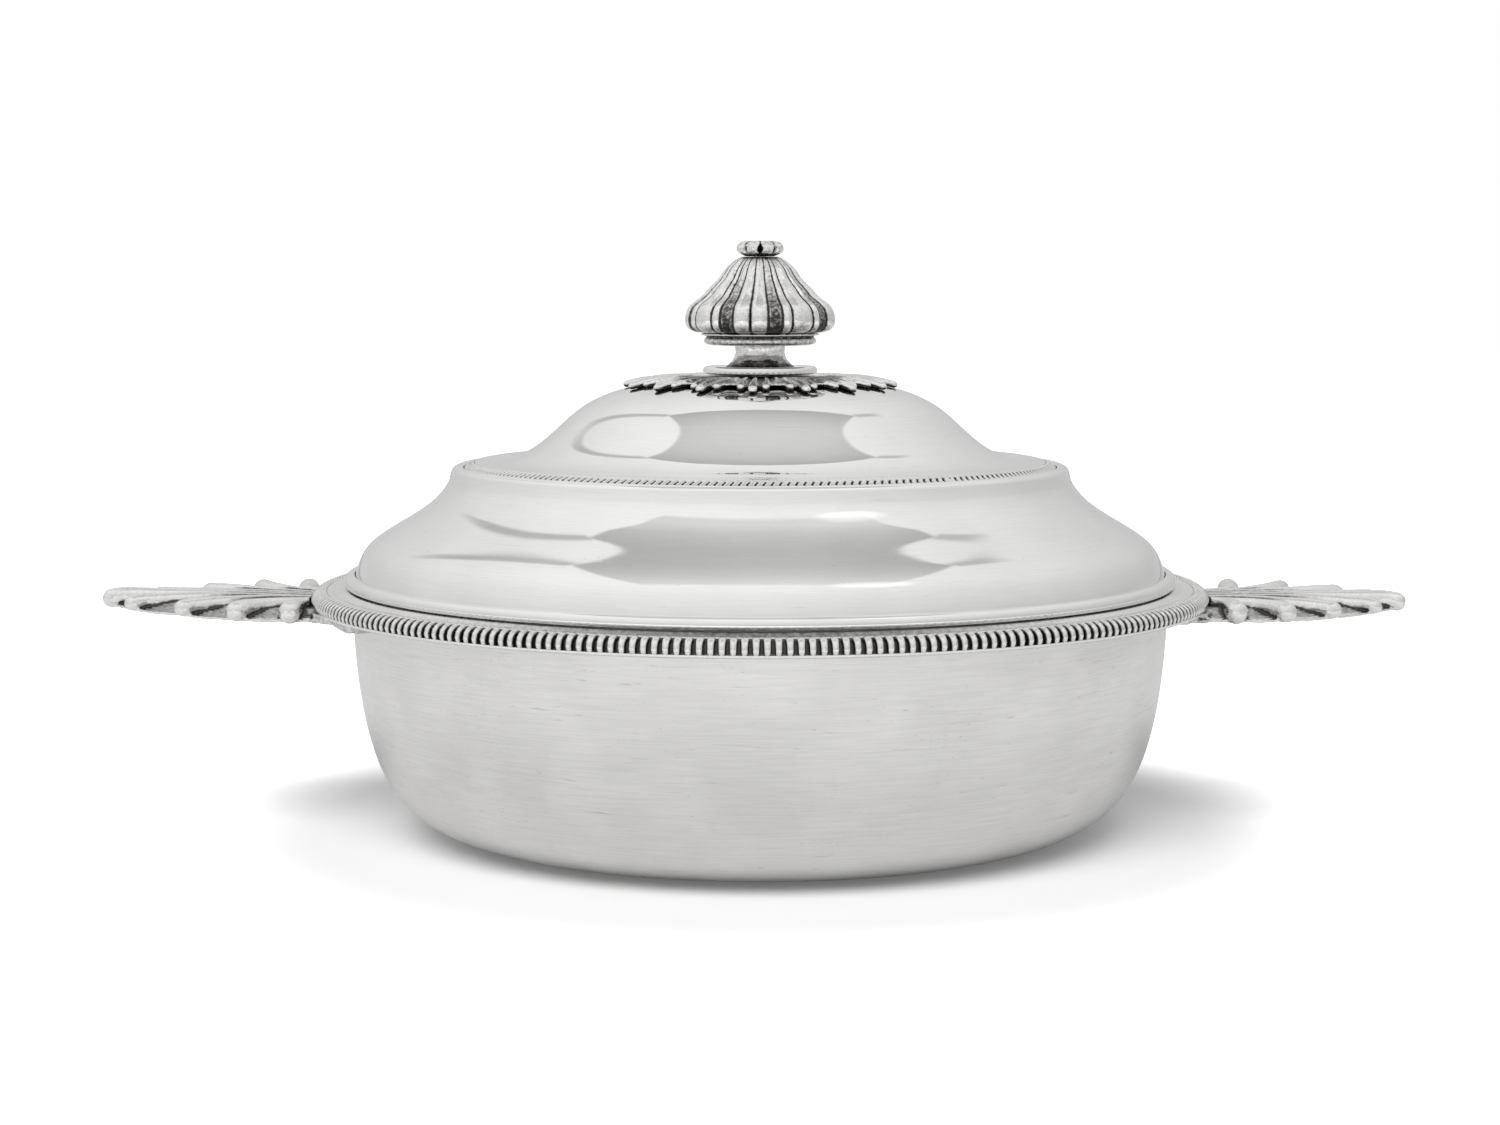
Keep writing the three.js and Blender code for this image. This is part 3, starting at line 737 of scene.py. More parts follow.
handleShape = {
    # along X to the lobes' far sides, from the middle one outwards, on the front and on the back side,
    # then the rise to the tip and how far round the pad runs to the front and the back, in degrees
    "right": {
        "front": [148.9, 142.4, 131.6, 120.2, 109.2],
        "back": [148.9, 146.0, 139.2, 127.2, 115.0],
        "rise": 0.2,
        "pad": (15.5, 15.5),
    },
    "left": {
        "front": [151.5, 145.5, 132.6, 119.7, 107.9],
        "back": [151.5, 143.2, 133.0, 121.4, 110.7],
        "rise": 1.1,
        "pad": (25, 15.5),
    },
    "riseFrom": 104,
    "spreads": [0, 10.2, 19.2, 24.9, 25.6],  # sideways to the lobes' ends
    "roots": [0, 2.5, 5.0, 7.5, 9.9],
    # the way of each lobe before its end: millimetres back from its far side, share of its spread
    "hooks": [
        [(8, 0), (4, 0), (0, 0)],
        [(12, 0.55), (6, 0.72), (3, 0.86), (1.6, 1)],
        [(13, 0.58), (8.2, 0.71), (5, 0.82), (3.2, 0.91), (2.2, 1)],
        [(12.6, 0.46), (8.2, 0.61), (5.2, 0.75), (3.4, 0.88), (2.6, 1)],
        [(8.2, 0.36), (5, 0.48), (3.9, 0.63), (3.4, 0.81), (3.2, 1)],
    ],
    "halfWay": [0, 0.37, 0.38, 0.36, 0.36],  # share of the spread partway out
    "halfWayAt": 0.45,
    "shortLobe": 14,  # a lobe whose straight part is shorter than this has no point partway
    "rootRadius": 97,
    "rootTop": 54.0,
    "ridgeTop": 54.4,
    "tops": [54.3, 53.4, 53.9, 54.6, 55.1],  # of the lobes' ends
    "underside": 49.9,
    "ridgeRise": 1.9,  # half the height of a ridge
    "widths": [0.75, 0.88, 1.15, 1.6, 2.25, 2.5],
    "slim": [0.95, 0.85, 0.95, 1, 1.06],  # the lobes' widths against each other
    "endRound": 2.1,
    "droops": [0.9, 0.5, 0.3, 0.3, 0.3],
    "voxel": 0.27,
    "smoothRounds": 1,
    "unevenness": 0.16,
    "waveScales": (0.42, 1.1),
    "wornAbove": 53.9,
    # the floor: its edge's distances back from the lobes, sideways from them, and its ends at the rim
    "edgeBack": (2.4, 2.2),
    "edgeAside": (1.2, 2.9),
    "edgeRoot": [(102.5, 23.2), (97.5, 23.6)],
    "floorBase": 50.15,
    "floorLow": 50.75,
    "floorHigh": 52.5,
    "floorSteps": 7,
    "floorShrink": (0.15, 0.27),  # along and across, from its edge to its top
    "lipHeight": 50.45,
    "lipSize": 0.45,
    # the pad under the rim moulding: inner and outer radius, and the tongue on its middle
    "padRadii": (93.0, 98.5),
    "padTongue": (102.4, 0.24),
    "padSpan": (49.8, 52.1),
    # what the handle keeps clear of: the bowl's wall and the foot of the rim moulding
    "wallRadius": 92.95,
    "rimRadius": 102.75,
    "rimCorner": (100.8, 53.2),  # points beyond it go outwards, the others down
    "rimFoot": (52.3, 52.35),  # points above the first go down to the second
    # stains and painted shade, and the outline of the ridges within which their flanks get painted shade,
    # along and across
    "stainsAndShade": {"floor": 0.5, "pad": 0.42, "ends": 0.3, "flanks": 0.64},
    "outline": ([97, 109, 120, 131, 142, 149], [11, 25, 24, 19, 10.5, 3]),
    "creases": {8: 0.17, 60: 0.46},
}


def lobeLine(shape, reach, order, side):
    root, spread = shape["rootRadius"], shape["spreads"][order]
    rise = shape["ridgeRise"]
    tall = (shape["tops"][order] - shape["underside"]) / 2
    marks = [Vector((root, side * shape["roots"][order], shape["rootTop"] - rise))]
    hook = shape["hooks"][order]
    if reach - hook[0][0] - root > shape["shortLobe"]:
        along = root + (reach - root) * shape["halfWayAt"]
        marks.append(Vector((along, side * spread * shape["halfWay"][order], shape["ridgeTop"] - rise)))
    for index, (back, share) in enumerate(hook):
        blend = (index / (len(hook) - 1)) ** 1.5
        high = (shape["ridgeTop"] - rise) * (1 - blend) + (shape["tops"][order] - tall) * blend
        marks.append(Vector((reach - back, side * spread * share, high)))
    marks[-1].z -= shape["droops"][order]
    return splineThrough(marks, 36), tall


def addLobe(bm, shape, reach, order, side):
    line, tall = lobeLine(shape, reach, order, side)
    rise = shape["ridgeRise"]
    widths = [width * shape["slim"][order] for width in shape["widths"]]
    heights = [rise, rise, rise, (rise + tall) / 2, tall, tall]
    limb(bm, line, widths, heights, sides=24, rings=56, caps=(1, shape["endRound"]))


def floorEdge(shape, ends, side):
    # the line of the floor's edge, a little inside the lobes' ends
    spreads = shape["spreads"]
    tipBack, back = shape["edgeBack"]
    between, beside = shape["edgeAside"]
    edge = [(ends[0] - tipBack, 0)]
    for order in range(1, len(spreads)):
        middle = (spreads[order - 1] + spreads[order]) / 2
        edge.append(((ends[order - 1] + ends[order]) / 2 - back, side * (middle - between)))
        edge.append((ends[order] - shape["hooks"][order][-1][0], side * (spreads[order] - beside)))
    return edge + [(x, side * y) for x, y in shape["edgeRoot"]]


def addLip(bm, shape, edge):
    line = [Vector((x, y, shape["lipHeight"])) for x, y in edge]
    size = [shape["lipSize"]] * 2
    for start, end in zip(line, line[1:-1]):
        way = [start.lerp(end, part / 4) for part in range(5)]
        limb(bm, way, size, size, sides=8, rings=8, caps=(0.3, 0.3))


def slab(bm, corners, low, high):
    face = bm.faces.new([bm.verts.new((x, y, low)) for x, y in corners])
    lifted = bmesh.ops.extrude_face_region(bm, geom=[face])["geom"]
    above = [item for item in lifted if isinstance(item, bmesh.types.BMVert)]
    bmesh.ops.translate(bm, vec=(0, 0, high - low), verts=above)


def addFloor(bm, shape, fan):
    # rises inwards from the lip
    root, steps = shape["rootRadius"], shape["floorSteps"]
    shorter, narrower = shape["floorShrink"]
    for step in range(steps):
        share = step / (steps - 1)
        high = shape["floorLow"] + (shape["floorHigh"] - shape["floorLow"]) * share
        inner = [(root + (x - root) * (1 - shorter * share), y * (1 - narrower * share)) for x, y in fan]
        slab(bm, inner, shape["floorBase"] + 0.02 * step, high)


def addPad(bm, shape, own, frontSide):
    start = math.radians(-own["pad"][frontSide != -1])
    angles = [start + math.radians(sum(own["pad"])) * step / 20 for step in range(21)]
    inner, outer = shape["padRadii"]
    tongue, half = shape["padTongue"]
    corners = [(inner * math.cos(angle), inner * math.sin(angle)) for angle in angles]
    for angle in angles[::-1]:
        radius = tongue if abs(angle) < half else outer
        corners.append((radius * math.cos(angle), radius * math.sin(angle)))
    slab(bm, corners, *shape["padSpan"])


def makeHandle(shape, own, frontSide):
    # made along +X; the front side is -1 where its front lies to -Y
    bm = bmesh.new()
    edges = {}
    for side, ends in ((frontSide, own["front"]), (-frontSide, own["back"])):
        for order, reach in enumerate(ends):
            if order or side == 1:
                addLobe(bm, shape, reach, order, side)
        edges[side] = floorEdge(shape, ends, side)
        addLip(bm, shape, edges[side])
    addFloor(bm, shape, [*edges[1][::-1], *edges[-1][1:]])
    addPad(bm, shape, own, frontSide)
    bmesh.ops.recalc_face_normals(bm, faces=bm.faces)
    bm = joinedUp(bm, shape["voxel"], shape["smoothRounds"])
    bm.normal_update()
    tip, start, corner = own["front"][0], shape["riseFrom"], shape["rimCorner"]
    foot, lowered = shape["rimFoot"]
    for vert in bm.verts:
        sway = swayAt(vert.co, shape["waveScales"]) - 0.4
        lowness = max(0.1, min(1, (shape["wornAbove"] - vert.co.z) / 1.2))  # the ridges' tops are worn smooth
        vert.co += vert.normal * shape["unevenness"] * lowness * sway
        flat = vert.co.xy.length
        vert.co.z += own["rise"] * max(0, vert.co.x - start) / (tip - start)
        vert.co.x = min(vert.co.x, tip - 0.05)
        if vert.co.z > foot and flat < shape["rimRadius"]:
            if flat > corner[0] and vert.co.z > corner[1]:
                vert.co.xy *= shape["rimRadius"] / flat
            else:
                vert.co.z = min(vert.co.z, lowered)
        elif flat < shape["wallRadius"]:
            vert.co.xy *= shape["wallRadius"] / flat
    bmesh.ops.dissolve_degenerate(bm, dist=weldGap / 2, edges=bm.edges)
    return bm


def handleStainAndShade(along, across, height, facing):
    # the floor between the lobes gets stain and painted shade, the pad under the rim moulding painted shade,
    # the lobes' lower ends are darker towards the bottom, and the ridges' flanks get painted shade by their
    # slope
    stainsAndShade = handleShape["stainsAndShade"]
    radius, along, across = np.hypot(along, across), np.abs(along), np.abs(across)
    floor = stainsAndShade["floor"] * (facing > 0.75) * (height > 51) * (height < 53.2)
    pad = stainsAndShade["pad"] * (radius < 103) * (height < 52.6)
    ends = stainsAndShade["ends"] * np.clip((51.6 - height) / 0.8, 0, 1)
    inside = across / np.interp(along, *handleShape["outline"])
    inner = np.clip((0.64 - inside) / 0.2, 0, 1) * np.clip((136 - along) / 16, 0, 1)
    flank = stainsAndShade["flanks"] * np.clip((0.93 - facing) / 0.3, 0, 1) * (height > 52.9) * inner
    return np.max([floor, pad, ends, flank], axis=0)


for sideName, angle, frontSide in (("right", 0, -1), ("left", math.pi, 1)):
    handle = makeHandle(handleShape, handleShape[sideName], frontSide)
    bmesh.ops.rotate(handle, cent=(0, 0, 0), matrix=Matrix.Rotation(angle, 3, "Z"), verts=handle.verts)
    name = sideName + "HandlePalmette"
    piece = finished(name, handle, "bowl", "cast_silver", sideName + "_handle", sharpAngle=80)
    # the recesses and creases between the lobes are painted dark, as dirt and shade
    markRecesses(piece.data, handleShape["creases"], handleStainAndShade)

# the leaves under the finial

rosetteShape = {
    "leafCount": 16,
    "turn": -3.3,
    "root": 12.6,
    "centre": {"tip": 31.5, "lifts": [0.3, 0.5, 0.62, 0.7, 0.55], "width": 1.08, "apart": 0},
    "sides": {"tip": 29.0, "lifts": [0.3, 0.45, 0.5, 0.5, 0.4], "width": 0.9, "apart": 2.75},
    "rootApart": 7.3,
    "swell": [0.38, 0.46, 0.58, 0.72, 0.92, 1.08],
    "heights": [0.5, 0.75, 0.9, 0.95, 0.95, 0.85],
    "sheetRadii": [2.3, 8, 13, 16, 19, 22, 24.5, 26.6],
    "sheet": (0.75, 0.45),  # its thickness under the collar and beyond
    "scallopFrom": 16,
    "voxel": 0.29,
    "shadeFrom": 1.2,  # height over the dome below which the sheet is painted dark as shade
    "shadeTo": 0.55,
    "tops": (104.55, 104.6),  # under the collar and beyond
    "collarRadius": 13.4,
    "domeGap": 0.06,
}
domePlaces = np.array(splineThrough(domeLine, 240))


def domeHeight(radius):
    return float(np.interp(radius, domePlaces[:, 0], domePlaces[:, 1]))


def addFinger(bm, shape, part, middle, side):
    line = []
    places = np.linspace(0, 1, len(part["lifts"]))
    for step in range(14):
        share = step / 13
        radius = shape["root"] + (part["tip"] - shape["root"]) * share
        angle = middle + min(math.radians(shape["rootApart"]), math.asin(part["apart"] / radius)) * side
        height = domeHeight(radius) + 0.25 + float(np.interp(share, places, part["lifts"]))
        line.append(placed(angle, radius, height))
    widths = [part["width"] * share for share in shape["swell"]]
    limb(bm, line, widths, shape["heights"], sides=12, rings=24, caps=(1, 1.2))


def makeRosette(shape):
    radii, leaves = shape["sheetRadii"], shape["leafCount"]
    thick, thin = shape["sheet"]
    under = [(radius, domeHeight(radius) + 2 * shape["domeGap"]) for radius in radii]
    upper = [(radius, height + (thick if radius < 14 else thin)) for radius, height in under]
    turn = math.radians(shape["turn"])

    def scallop(angle, radius, height):
        share = max(0, (radius - shape["scallopFrom"]) / (radii[-1] - shape["scallopFrom"]))
        wave = math.cos((angle - turn) * leaves)
        moved = radius + share * (0.7 * wave - 0.3)
        arch = share * 0.45 * (1 - wave) / 2  # the edge stands off the dome between the leaves
        return angle, moved, height + domeHeight(moved) - domeHeight(radius) + arch

    bm = reshaped(turned([*under, *upper[::-1]], leaves * 12), scallop)
    for order in range(leaves):
        middle = order * math.tau / leaves + turn
        for part, side in ((shape["centre"], 0), (shape["sides"], -1), (shape["sides"], 1)):
            addFinger(bm, shape, part, middle, side)
    bm = joinedUp(bm, shape["voxel"], 2)
    recess = recessOf(bm)
    for vert in bm.verts:
        flat = vert.co.xy.length
        dome = domeHeight(flat)
        top = shape["tops"][flat >= shape["collarRadius"]]
        vert.co.z = max(min(vert.co.z, top), dome + shape["domeGap"])
        # painted shade where the sheet lies close to the dome, and near the collar
        shade = float(np.interp(vert.co.z - dome, [shape["shadeTo"], shape["shadeFrom"]], [0.72, 0]))
        vert[recess] = max(shade, 0.45 - (flat - 13) * 0.15) if flat < 16 else shade
    return bm


leaves = makeRosette(rosetteShape)
finished("leafRosette", leaves, "cover", "patinated_silver", "rosette", sharpAngle=80)

# the finial

collarShape = {
    "outline": [
        (2.3, 104.62), (12.4, 104.62, 0.3), (13.08, 104.95, 0.35), (13.1, 105.75, 0.4), (12.75, 106.3, 0.4),
        (11.9, 106.48, 0.4), (10.6, 106.35, 0.3), (9.8, 105.95, 0.2), (9.5, 105.3, 0.15), (8.6, 105.2),
        (2.3, 105.2),
    ],
    "steps": 96,
    # painted shade in the dish round the stem's foot
    "shades": ([105.94, 105.95], [0.9, 0]),
    "shadeRadii": (0, 9.75),
}
stemShape = {
    "outline": [
        (2.3, 105.3), (8.5, 105.3, 0.2), (8.5, 105.62, 0.15), (7.9, 106.15, 0.4), (7.0, 107.0, 0.4),
        (6.2, 107.9, 0.4), (5.75, 108.9, 0.4), (5.6, 110.0, 0.4), (5.75, 111.0), (5.8, 111.2), (2.3, 111.2),
    ],
    "steps": 96,
    "shades": ([105.3, 106.6, 107.6, 109.5, 110.9], [0.8, 0.62, 0.34, 0.26, 0.4]),
    "shadeRadii": (0, 9),
    "rough": (0.06, 1.1),  # depth and scale of the cast skin
}
saucerShape = {
    "outline": [
        (2.3, 111.22), (11.3, 111.22, 0.3), (12.3, 111.45, 0.3), (12.85, 111.95, 0.25), (12.75, 112.5, 0.3),
        (12.45, 112.8, 0.15), (12.25, 112.98, 0.1), (12.3, 113.15, 0.1), (12.7, 113.36, 0.1),
        (13.35, 113.42, 0.1), (13.5, 113.62, 0.1), (13.35, 113.86, 0.1), (12.5, 113.9), (2.3, 113.9),
    ],
    "steps": 112,
    "shades": ([111.3, 112.2, 112.6, 112.85, 113.3, 113.42], [0.5, 0.4, 0.46, 0.6, 0.7, 0]),
    "shadeRadii": (10, 14),
    "rough": (0.04, 1.3),
}


def makeRing(shape):
    bm = turned(eased(shape["outline"]), shape["steps"])
    amount, scale = shape.get("rough", (0, 1))
    for vert in bm.verts:
        if vert.co.xy.length > 4:  # the bore stays true
            vert.co += vert.normal * amount * (noise.noise(vert.co * scale) - 0.3)
    return bm


for name, shape, slot, node in (
    ("finialCollar", collarShape, "polished_silver", "finial_collar"),
    ("finialStem", stemShape, "patinated_silver", "finial_stem"),
    ("finialSaucer", saucerShape, "patinated_silver", "finial_saucer"),
):
    piece = finished(name, makeRing(shape), "cover", slot, node)
    markByHeight(piece.data, shape)

budShape = {
    "profile": [
        (12.9, 114.02), (14.4, 114.1), (15.9, 114.6), (16.9, 115.7), (17.08, 117.3), (16.8, 118.7),
        (16.1, 120.0), (14.4, 121.4), (12.8, 122.8), (11.7, 124.1), (10.3, 125.5), (9.2, 126.8), (8.3, 128.2),
        (6.95, 129.6), (5.4, 130.75), (4.3, 131.2),
    ],
    # flutes of a quarter turn, from a groove 8 degrees left of the front: share of the quarter, kind
    "flutes": [
        (0.161, "lobe"), (0.129, "hollow"), (0.097, "rib"), (0.226, "flat"),
        (0.097, "rib"), (0.129, "hollow"), (0.161, "lobe"),
    ],
    "firstGroove": -8,
    "samples": 14,
    "sunk": {"lobe": 0, "flat": 0.12, "rib": 0.05},
    "grooveDepth": 1.0,
    "roundness": 2.0,  # millimetres over which a flute curves into its groove
    "hollowDepth": 0.85,
    "hollowRough": 0.3,
    "lineWidth": (0.26, 0.2),  # of the dark lines at the top, and what they gain to the foot
    "stain": (0.2, 0.35),
    "boreRadius": 2.2,
    "boreTop": 120.2,
    "spigotRadius": 1.75,  # of the hole that takes the cap
    "spigotDepth": 3,
}


def makeBud(shape):
    side = splineThrough(shape["profile"], 54)
    low, high = side[0][1], side[-1][1]
    bore, boreTop, spigot = shape["boreRadius"], shape["boreTop"], shape["spigotRadius"]
    deep = high - shape["spigotDepth"]
    outline = [(0, boreTop), (bore, boreTop), (bore, 114.0), *side, (spigot, high), (spigot, deep), (0, deep)]
    samples = shape["samples"]
    steps = samples * len(shape["flutes"]) * 4
    bm = turned(outline, steps)
    recess = recessOf(bm)
    starts, kinds = [], []
    angle = math.radians(shape["firstGroove"])
    for share, kind in shape["flutes"] * 4:
        starts.append(angle)
        kinds.append(kind)
        angle += share * math.pi / 2
    starts.append(angle)

    for vert in bm.verts:
        angle, radius, height = polar(vert)
        step = round(angle / math.tau * steps) % steps
        order, sample = divmod(step, samples)
        share = sample / samples
        turn = starts[order] + (starts[order + 1] - starts[order]) * share
        depth = 0
        if radius > 4.2 and not (radius < 13 and height < 114.2):
            edge = min(share, 1 - share) * 2  # 0 in the groove, 1 on the flute's middle
            across = edge * (starts[order + 1] - starts[order]) / 2 * radius  # millimetres from the groove
            crown = 1 - (1 - min(1, across / shape["roundness"])) ** 2
            fade = min(1, radius / 11)
            depth = shape["grooveDepth"] * (1 - crown) * fade
            down = (high - height) / (high - low)
            wide = shape["lineWidth"][0] + shape["lineWidth"][1] * down
            blot = noise.noise(Vector((turn * 6, height * 0.35, 8.0)))
            line = max(0, 1 - across / wide) ** 0.5 * (0.75 + 0.4 * down)
            shades = [line, shape["stain"][0] + shape["stain"][1] * blot, 0.3 - 0.5 * down]
            if down > 0.93:
                shades.append(0.4)
            if kinds[order] == "hollow":
                rough = shape["hollowRough"] * noise.noise(Vector((turn * 11, height * 0.8, 3.0)))
                depth += (shape["hollowDepth"] + rough) * min(1, edge * 1.8) * fade * (0.4 + 0.6 * down)
                shades.append((0.3 + 0.42 * down) * min(1, edge * 3))
            else:
                depth += shape["sunk"][kinds[order]] * min(1, edge * 2)
            vert[recess] = max(shades)
        vert.co = placed(turn, radius - depth, height)
    return bm


bud = makeBud(budShape)
finished("finialBud", bud, "cover", "patinated_silver", "finial_bud", sharpAngle=75)

capShape = {
    "profile": [
        (1.2, 131.5), (3.9, 131.5), (4.35, 131.75), (5.0, 132.15), (5.4, 132.7), (5.5, 133.15), (5.35, 133.7),
        (4.9, 134.25), (4.1, 134.65), (3.0, 134.75), (2.0, 134.6), (1.2, 134.75),
    ],
    "top": 134.85,
    "peg": (1.45, 128.2),  # radius and lower end
    "beads": 8,
    "beadDepth": 0.95,
    "holeHeight": 133.05,
    "holeSize": (0.75, 1.0),
    "holeDepth": 1.2,
    "holeRim": 0.14,
    "roughDepth": 0.3,
    "roughScale": 1.7,
}


def makeCap(shape):
    side = splineThrough(shape["profile"], 48)
    peg, end = shape["peg"]
    foot = shape["profile"][0][1]
    outline = [(0, end), (peg, end), (peg, foot), *side, (0, shape["top"])]
    bm = turned(outline, shape["beads"] * 20)
    recess = recessOf(bm)
    for vert in bm.verts:
        angle, radius, height = polar(vert)
        if radius < 1.6:
            continue
        share = (angle / math.tau * shape["beads"] + 0.5) % 1
        across = abs(share - 0.5) * 2  # 0 in the groove between two beads, 1 on a bead's middle
        fade = min(1, (radius - 1.6) / 2.4)
        depth = shape["beadDepth"] * (1 - across) ** 2 * fade
        wide = across * math.pi / shape["beads"] * radius
        rise = height - shape["holeHeight"]
        hole = math.hypot(wide / shape["holeSize"][0] * (1 + max(0, rise)), rise / shape["holeSize"][1])
        outer = radius > 4
        depth += shape["holeDepth"] * max(0, 1 - hole**2) ** 0.5 * outer
        depth -= shape["holeRim"] * math.exp(-((hole - 1.45) * 4) ** 2) * outer
        # patina and painted shade in the holes, between the beads and under the neck
        dirtAndShade = max(1.35 - hole if outer else 0, 0.8 - across * 2.6, 0.36)
        vert[recess] = 0.6 if height < 131.9 else dirtAndShade
        place = Vector((radius * math.sin(angle), radius * math.cos(angle), height))
        depth += shape["roughDepth"] * noise.noise(place * shape["roughScale"])
        vert.co.xy *= 1 - depth / radius
    return bm


cap = makeCap(capShape)
finished("finialCap", cap, "cover", "patinated_silver", "finial_cap", sharpAngle=75)

# the fixings inside the cover

fixingShape = {
    "studRadius": 1.95,
    "threadRadius": 1.72,
    "pitch": 0.5,
    "washerRadii": (2.15, 7.9),
    "nutBore": 2.05,
    "nutRadius": 4.6,
    "nutFlat": 4.0,
}


def makeStud(shape, low, high, threadTop):
    # turned threads as far as the washer, then plain
    outer, inner = shape["studRadius"], shape["threadRadius"]
    line = [(0, low), (1.6, low)]
    height = low + shape["pitch"]
    while height < threadTop:
        line += [(outer, height), (inner, height + shape["pitch"] / 2)]
        height += shape["pitch"]
    return turned([*line, (outer, height), (outer, high - 0.3), (1.65, high), (0, high)], 48)


def makeWasher(shape, low, high):
    bore, outer = shape["washerRadii"]
    return turned(eased([(bore, low, 0.1), (outer, low, 0.25), (outer, high, 0.25), (bore, high, 0.1)]), 96)


def makeNut(shape, low, high):
    # a turned ring, pressed to six flats between rounded shoulders
    bore, outer, half = shape["nutBore"], shape["nutRadius"], shape["nutFlat"]
    line = [(bore, low + 0.3), (2.4, low), (4.0, low), (outer, low + 0.45)]
    line += [(outer, high - 0.1), (4.4, high), (bore, high)]

    def flats(angle, radius, height):
        share = (angle / math.tau * 6) % 1 - 0.5
        return angle, min(radius, half / math.cos(share * math.tau / 6)), height

    return reshaped(turned(line, 72), flats)


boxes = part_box("finial_stud"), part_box("finial_washer"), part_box("finial_nut")
studSpan, washerSpan, nutSpan = ([corner.z / mm for corner in box] for box in boxes)
stud = makeStud(fixingShape, *studSpan, washerSpan[1])
finished("finialStud", stud, "cover", "fixing_metal", "finial_stud")
washer = makeWasher(fixingShape, *washerSpan)
finished("finialWasher", washer, "cover", "satin_silver", "finial_washer")
nut = makeNut(fixingShape, *nutSpan)
finished("finialNut", nut, "cover", "fixing_metal", "finial_nut", sharpAngle=25)

# camera, light and floor

studio = {
    "cameraPlace": (-0.0023, -0.650, 0.1278),
    "cameraDip": 5.85,
    "lens": 68.1,
    "floorRadius": 4.0,
    "floorHeight": -0.0001,
    "floorTone": 0.8,
    "floorMirrored": (0.72, 0.92),  # its tone in the silver's reflections, near the bowl and farther out: darker near the bowl as painted shade, lighter farther out as painted light
    "mirroredFrom": 0.07,
    "mirroredTo": 0.24,
    "floorLift": 0.13,  # added to the floor for the camera
    "whiteFrom": 0.1,  # from here to whiteTo the floor fades to white for the camera
    "whiteTo": 0.165,
    "lampPlace": (-0.35, -2.3, 2.1),
    "lampSize": 2.2,
    "lampPower": 96,
    "shadeLight": 0.4,  # share of the room's light that reaches the floor
    "horizon": 0.66,
    "overhead": 1.0,
    "leftTilt": 0.07,
    "frontTilt": 0.04,
    "glow": (0.38, -0.2),
    "glowSize": 0.2,
    "glowLevel": 0.3,
    # a grey panel overhead, placed where its direction meets a ceiling of height 1
    "panelX": (-0.40, 0.42),
    "panelY": (-0.17, 0.545),
    "panelSoft": 0.012,
    "panelFar": 0.50,
    "panelNear": 0.80,
    # dark seams from the panel's far corners: corner, direction, length, strength
    "seams": [((-0.40, 0.54), (-0.5, 0.866), 1.6, 0.4), ((0.42, 0.54), (0.42, 0.9), 0.35, 0.35)],
    "seamWidth": (0.045, 0.012),
}


def between(tree, value, low, high, soft):
    # 1 between two values, with soft edges
    rise, fall = (low - soft, low + soft), (high + soft, high - soft)
    return product(tree, ramp(tree, value, *rise), ramp(tree, value, *fall))


def wallLight(tree, look, x, y, z, overX, overY):
    # the room grows brighter upwards, with a grey panel in the middle of its ceiling
    wall = put(tree, "MapRange", {0: z, 1: 0.1, 2: 0.92, 3: look["horizon"], 4: look["overhead"]})
    wall = scaled(tree, x, -look["leftTilt"], wall)
    wall = scaled(tree, y, -look["frontTilt"], wall)
    soft = look["panelSoft"]
    near, far = look["panelY"]
    inside = between(tree, overX, *look["panelX"], soft)
    inside = product(tree, inside, ramp(tree, overY, near - 0.09, near + 0.05))
    inside = product(tree, inside, ramp(tree, overY, far + soft, far - soft))
    inputs = {0: overY, 1: far, 2: near + 0.1, 3: look["panelFar"], 4: look["panelNear"]}
    return put(tree, "Mix", {0: inside, 2: wall, 3: put(tree, "MapRange", inputs)})


def seamShade(tree, look, overX, overY, corner, run, length, strength):
    # 1, and less along a line that runs out from a corner and widens
    fromX, fromY = calc(tree, "SUBTRACT", overX, corner[0]), calc(tree, "SUBTRACT", overY, corner[1])
    along = scaled(tree, fromX, run[0], product(tree, fromY, run[1]))
    aside = scaled(tree, fromX, run[1], product(tree, fromY, -run[0]))
    widening = calc(tree, "ADD", calc(tree, "MAXIMUM", along, 0), 1)
    aside = calc(tree, "DIVIDE", calc(tree, "ABSOLUTE", aside), widening)
    ends = product(tree, ramp(tree, along, -0.01, 0.02), ramp(tree, along, length, length * 0.4))
    dark = product(tree, ramp(tree, aside, *look["seamWidth"]), ends)
    return scaled(tree, dark, -strength, 1)


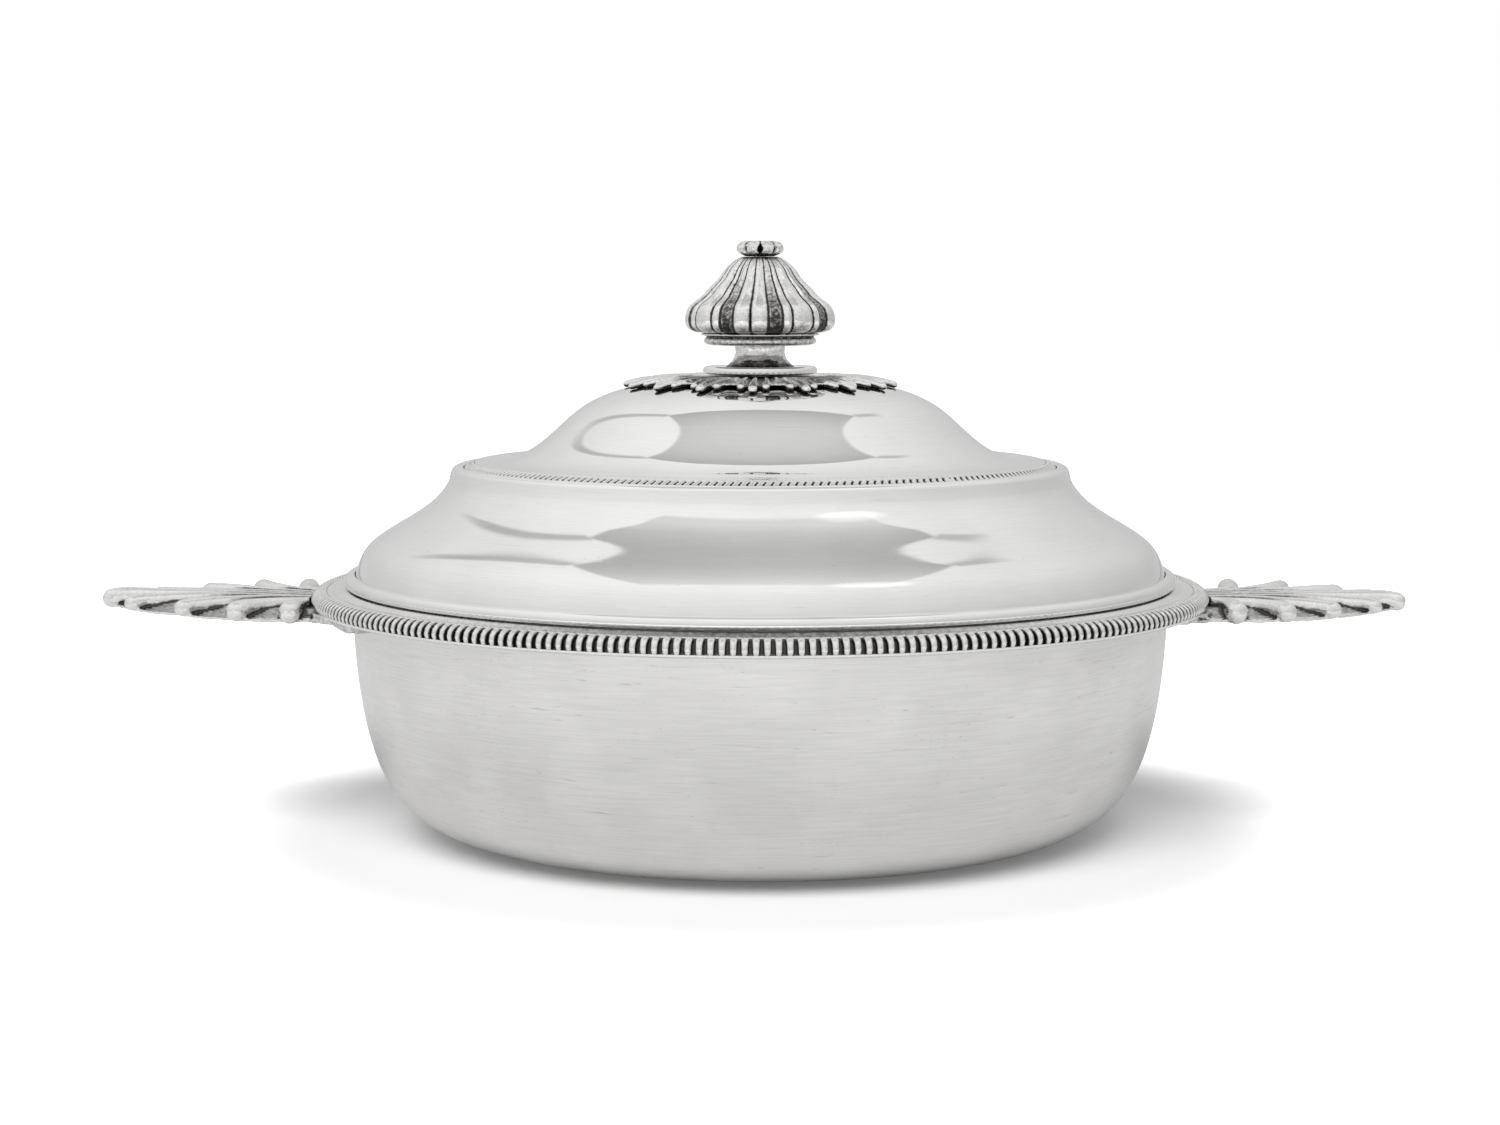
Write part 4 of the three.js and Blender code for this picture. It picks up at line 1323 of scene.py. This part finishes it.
def makeWorld(look):
    world = bpy.data.worlds.new("studio")
    scene.world = world
    tree = treeOf(world)
    x, y, z = parted(tree, put(tree, "TexCoord"))
    rise = calc(tree, "MAXIMUM", z, 0.02)
    overX, overY = calc(tree, "DIVIDE", x, rise), calc(tree, "DIVIDE", y, rise)
    level = wallLight(tree, look, x, y, z, overX, overY)
    for seam in look["seams"]:
        level = product(tree, level, seamShade(tree, look, overX, overY, *seam))
    glowX, glowY = look["glow"]
    apartX, apartY = calc(tree, "SUBTRACT", overX, glowX), calc(tree, "SUBTRACT", overY, glowY)
    apart = scaled(tree, apartX, apartX, product(tree, apartY, apartY))
    level = calc(tree, "ADD", level, ramp(tree, apart, look["glowSize"] ** 2, 0.0, 0.0, look["glowLevel"]))
    rays = tree.nodes.new("ShaderNodeLightPath").outputs
    shaded = product(tree, level, look["shadeLight"])
    level = put(tree, "Mix", {0: rays["Is Diffuse Ray"], 2: level, 3: shaded})
    level = put(tree, "Mix", {0: rays["Is Camera Ray"], 2: level, 3: 1.0})
    backdrop = put(tree, "Background", {"Color": (1, 1, 1, 1), "Strength": level})
    put(tree, "OutputWorld", {"Surface": backdrop})


def makeLamp(look):
    lamp = bpy.data.lights.new("softLamp", "AREA")
    lamp.shape, lamp.size, lamp.energy = "DISK", look["lampSize"], look["lampPower"]
    lampObject = linked("softLamp", lamp)
    lampObject.location = look["lampPlace"]
    lampObject.rotation_euler = Vector(look["lampPlace"]).to_track_quat("Z", "Y").to_euler()
    lampObject.visible_glossy = False


def makeFloor(look):
    made = bpy.data.materials.new("paleFloor")
    tree = treeOf(made)
    rays = tree.nodes.new("ShaderNodeLightPath").outputs
    place = put(tree, "TexCoord", output="Object")
    out = put(tree, "VectorMath", {0: place}, output="Value", operation="LENGTH")
    lift = calc(tree, "ADD", ramp(tree, out, look["whiteFrom"], look["whiteTo"]), look["floorLift"])
    seen = product(tree, lift, rays["Is Camera Ray"])
    # the floor seen in the silver is painted darker near the bowl, as shade, and lighter farther out
    mirrored = ramp(tree, out, look["mirroredFrom"], look["mirroredTo"], *look["floorMirrored"])
    tone = put(tree, "Mix", {0: rays["Is Glossy Ray"], 2: look["floorTone"], 3: mirrored})
    plain = put(tree, "BsdfDiffuse", {"Color": tone})
    lift = put(tree, "Emission", {"Color": (1, 1, 1, 1), "Strength": seen})
    put(tree, "OutputMaterial", {"Surface": put(tree, "AddShader", {0: plain, 1: lift})})
    bm = bmesh.new()
    bmesh.ops.create_circle(bm, cap_ends=True, segments=96, radius=look["floorRadius"])
    bmesh.ops.translate(bm, vec=(0, 0, look["floorHeight"]), verts=bm.verts)
    mesh = meshOf("floor", bm)
    mesh.materials.append(made)
    floor = linked("floor", mesh)


def makeCamera(look):
    camera = bpy.data.cameras.new("camera")
    camera.lens, camera.sensor_width = look["lens"], 36
    cameraObject = linked("camera", camera)
    cameraObject.location = look["cameraPlace"]
    cameraObject.rotation_euler = (math.radians(90 - look["cameraDip"]), 0, 0)
    return cameraObject


makeWorld(studio)
makeLamp(studio)
makeFloor(studio)
scene.camera = makeCamera(studio)
scene.view_settings.view_transform = "Standard"
print("studio made")
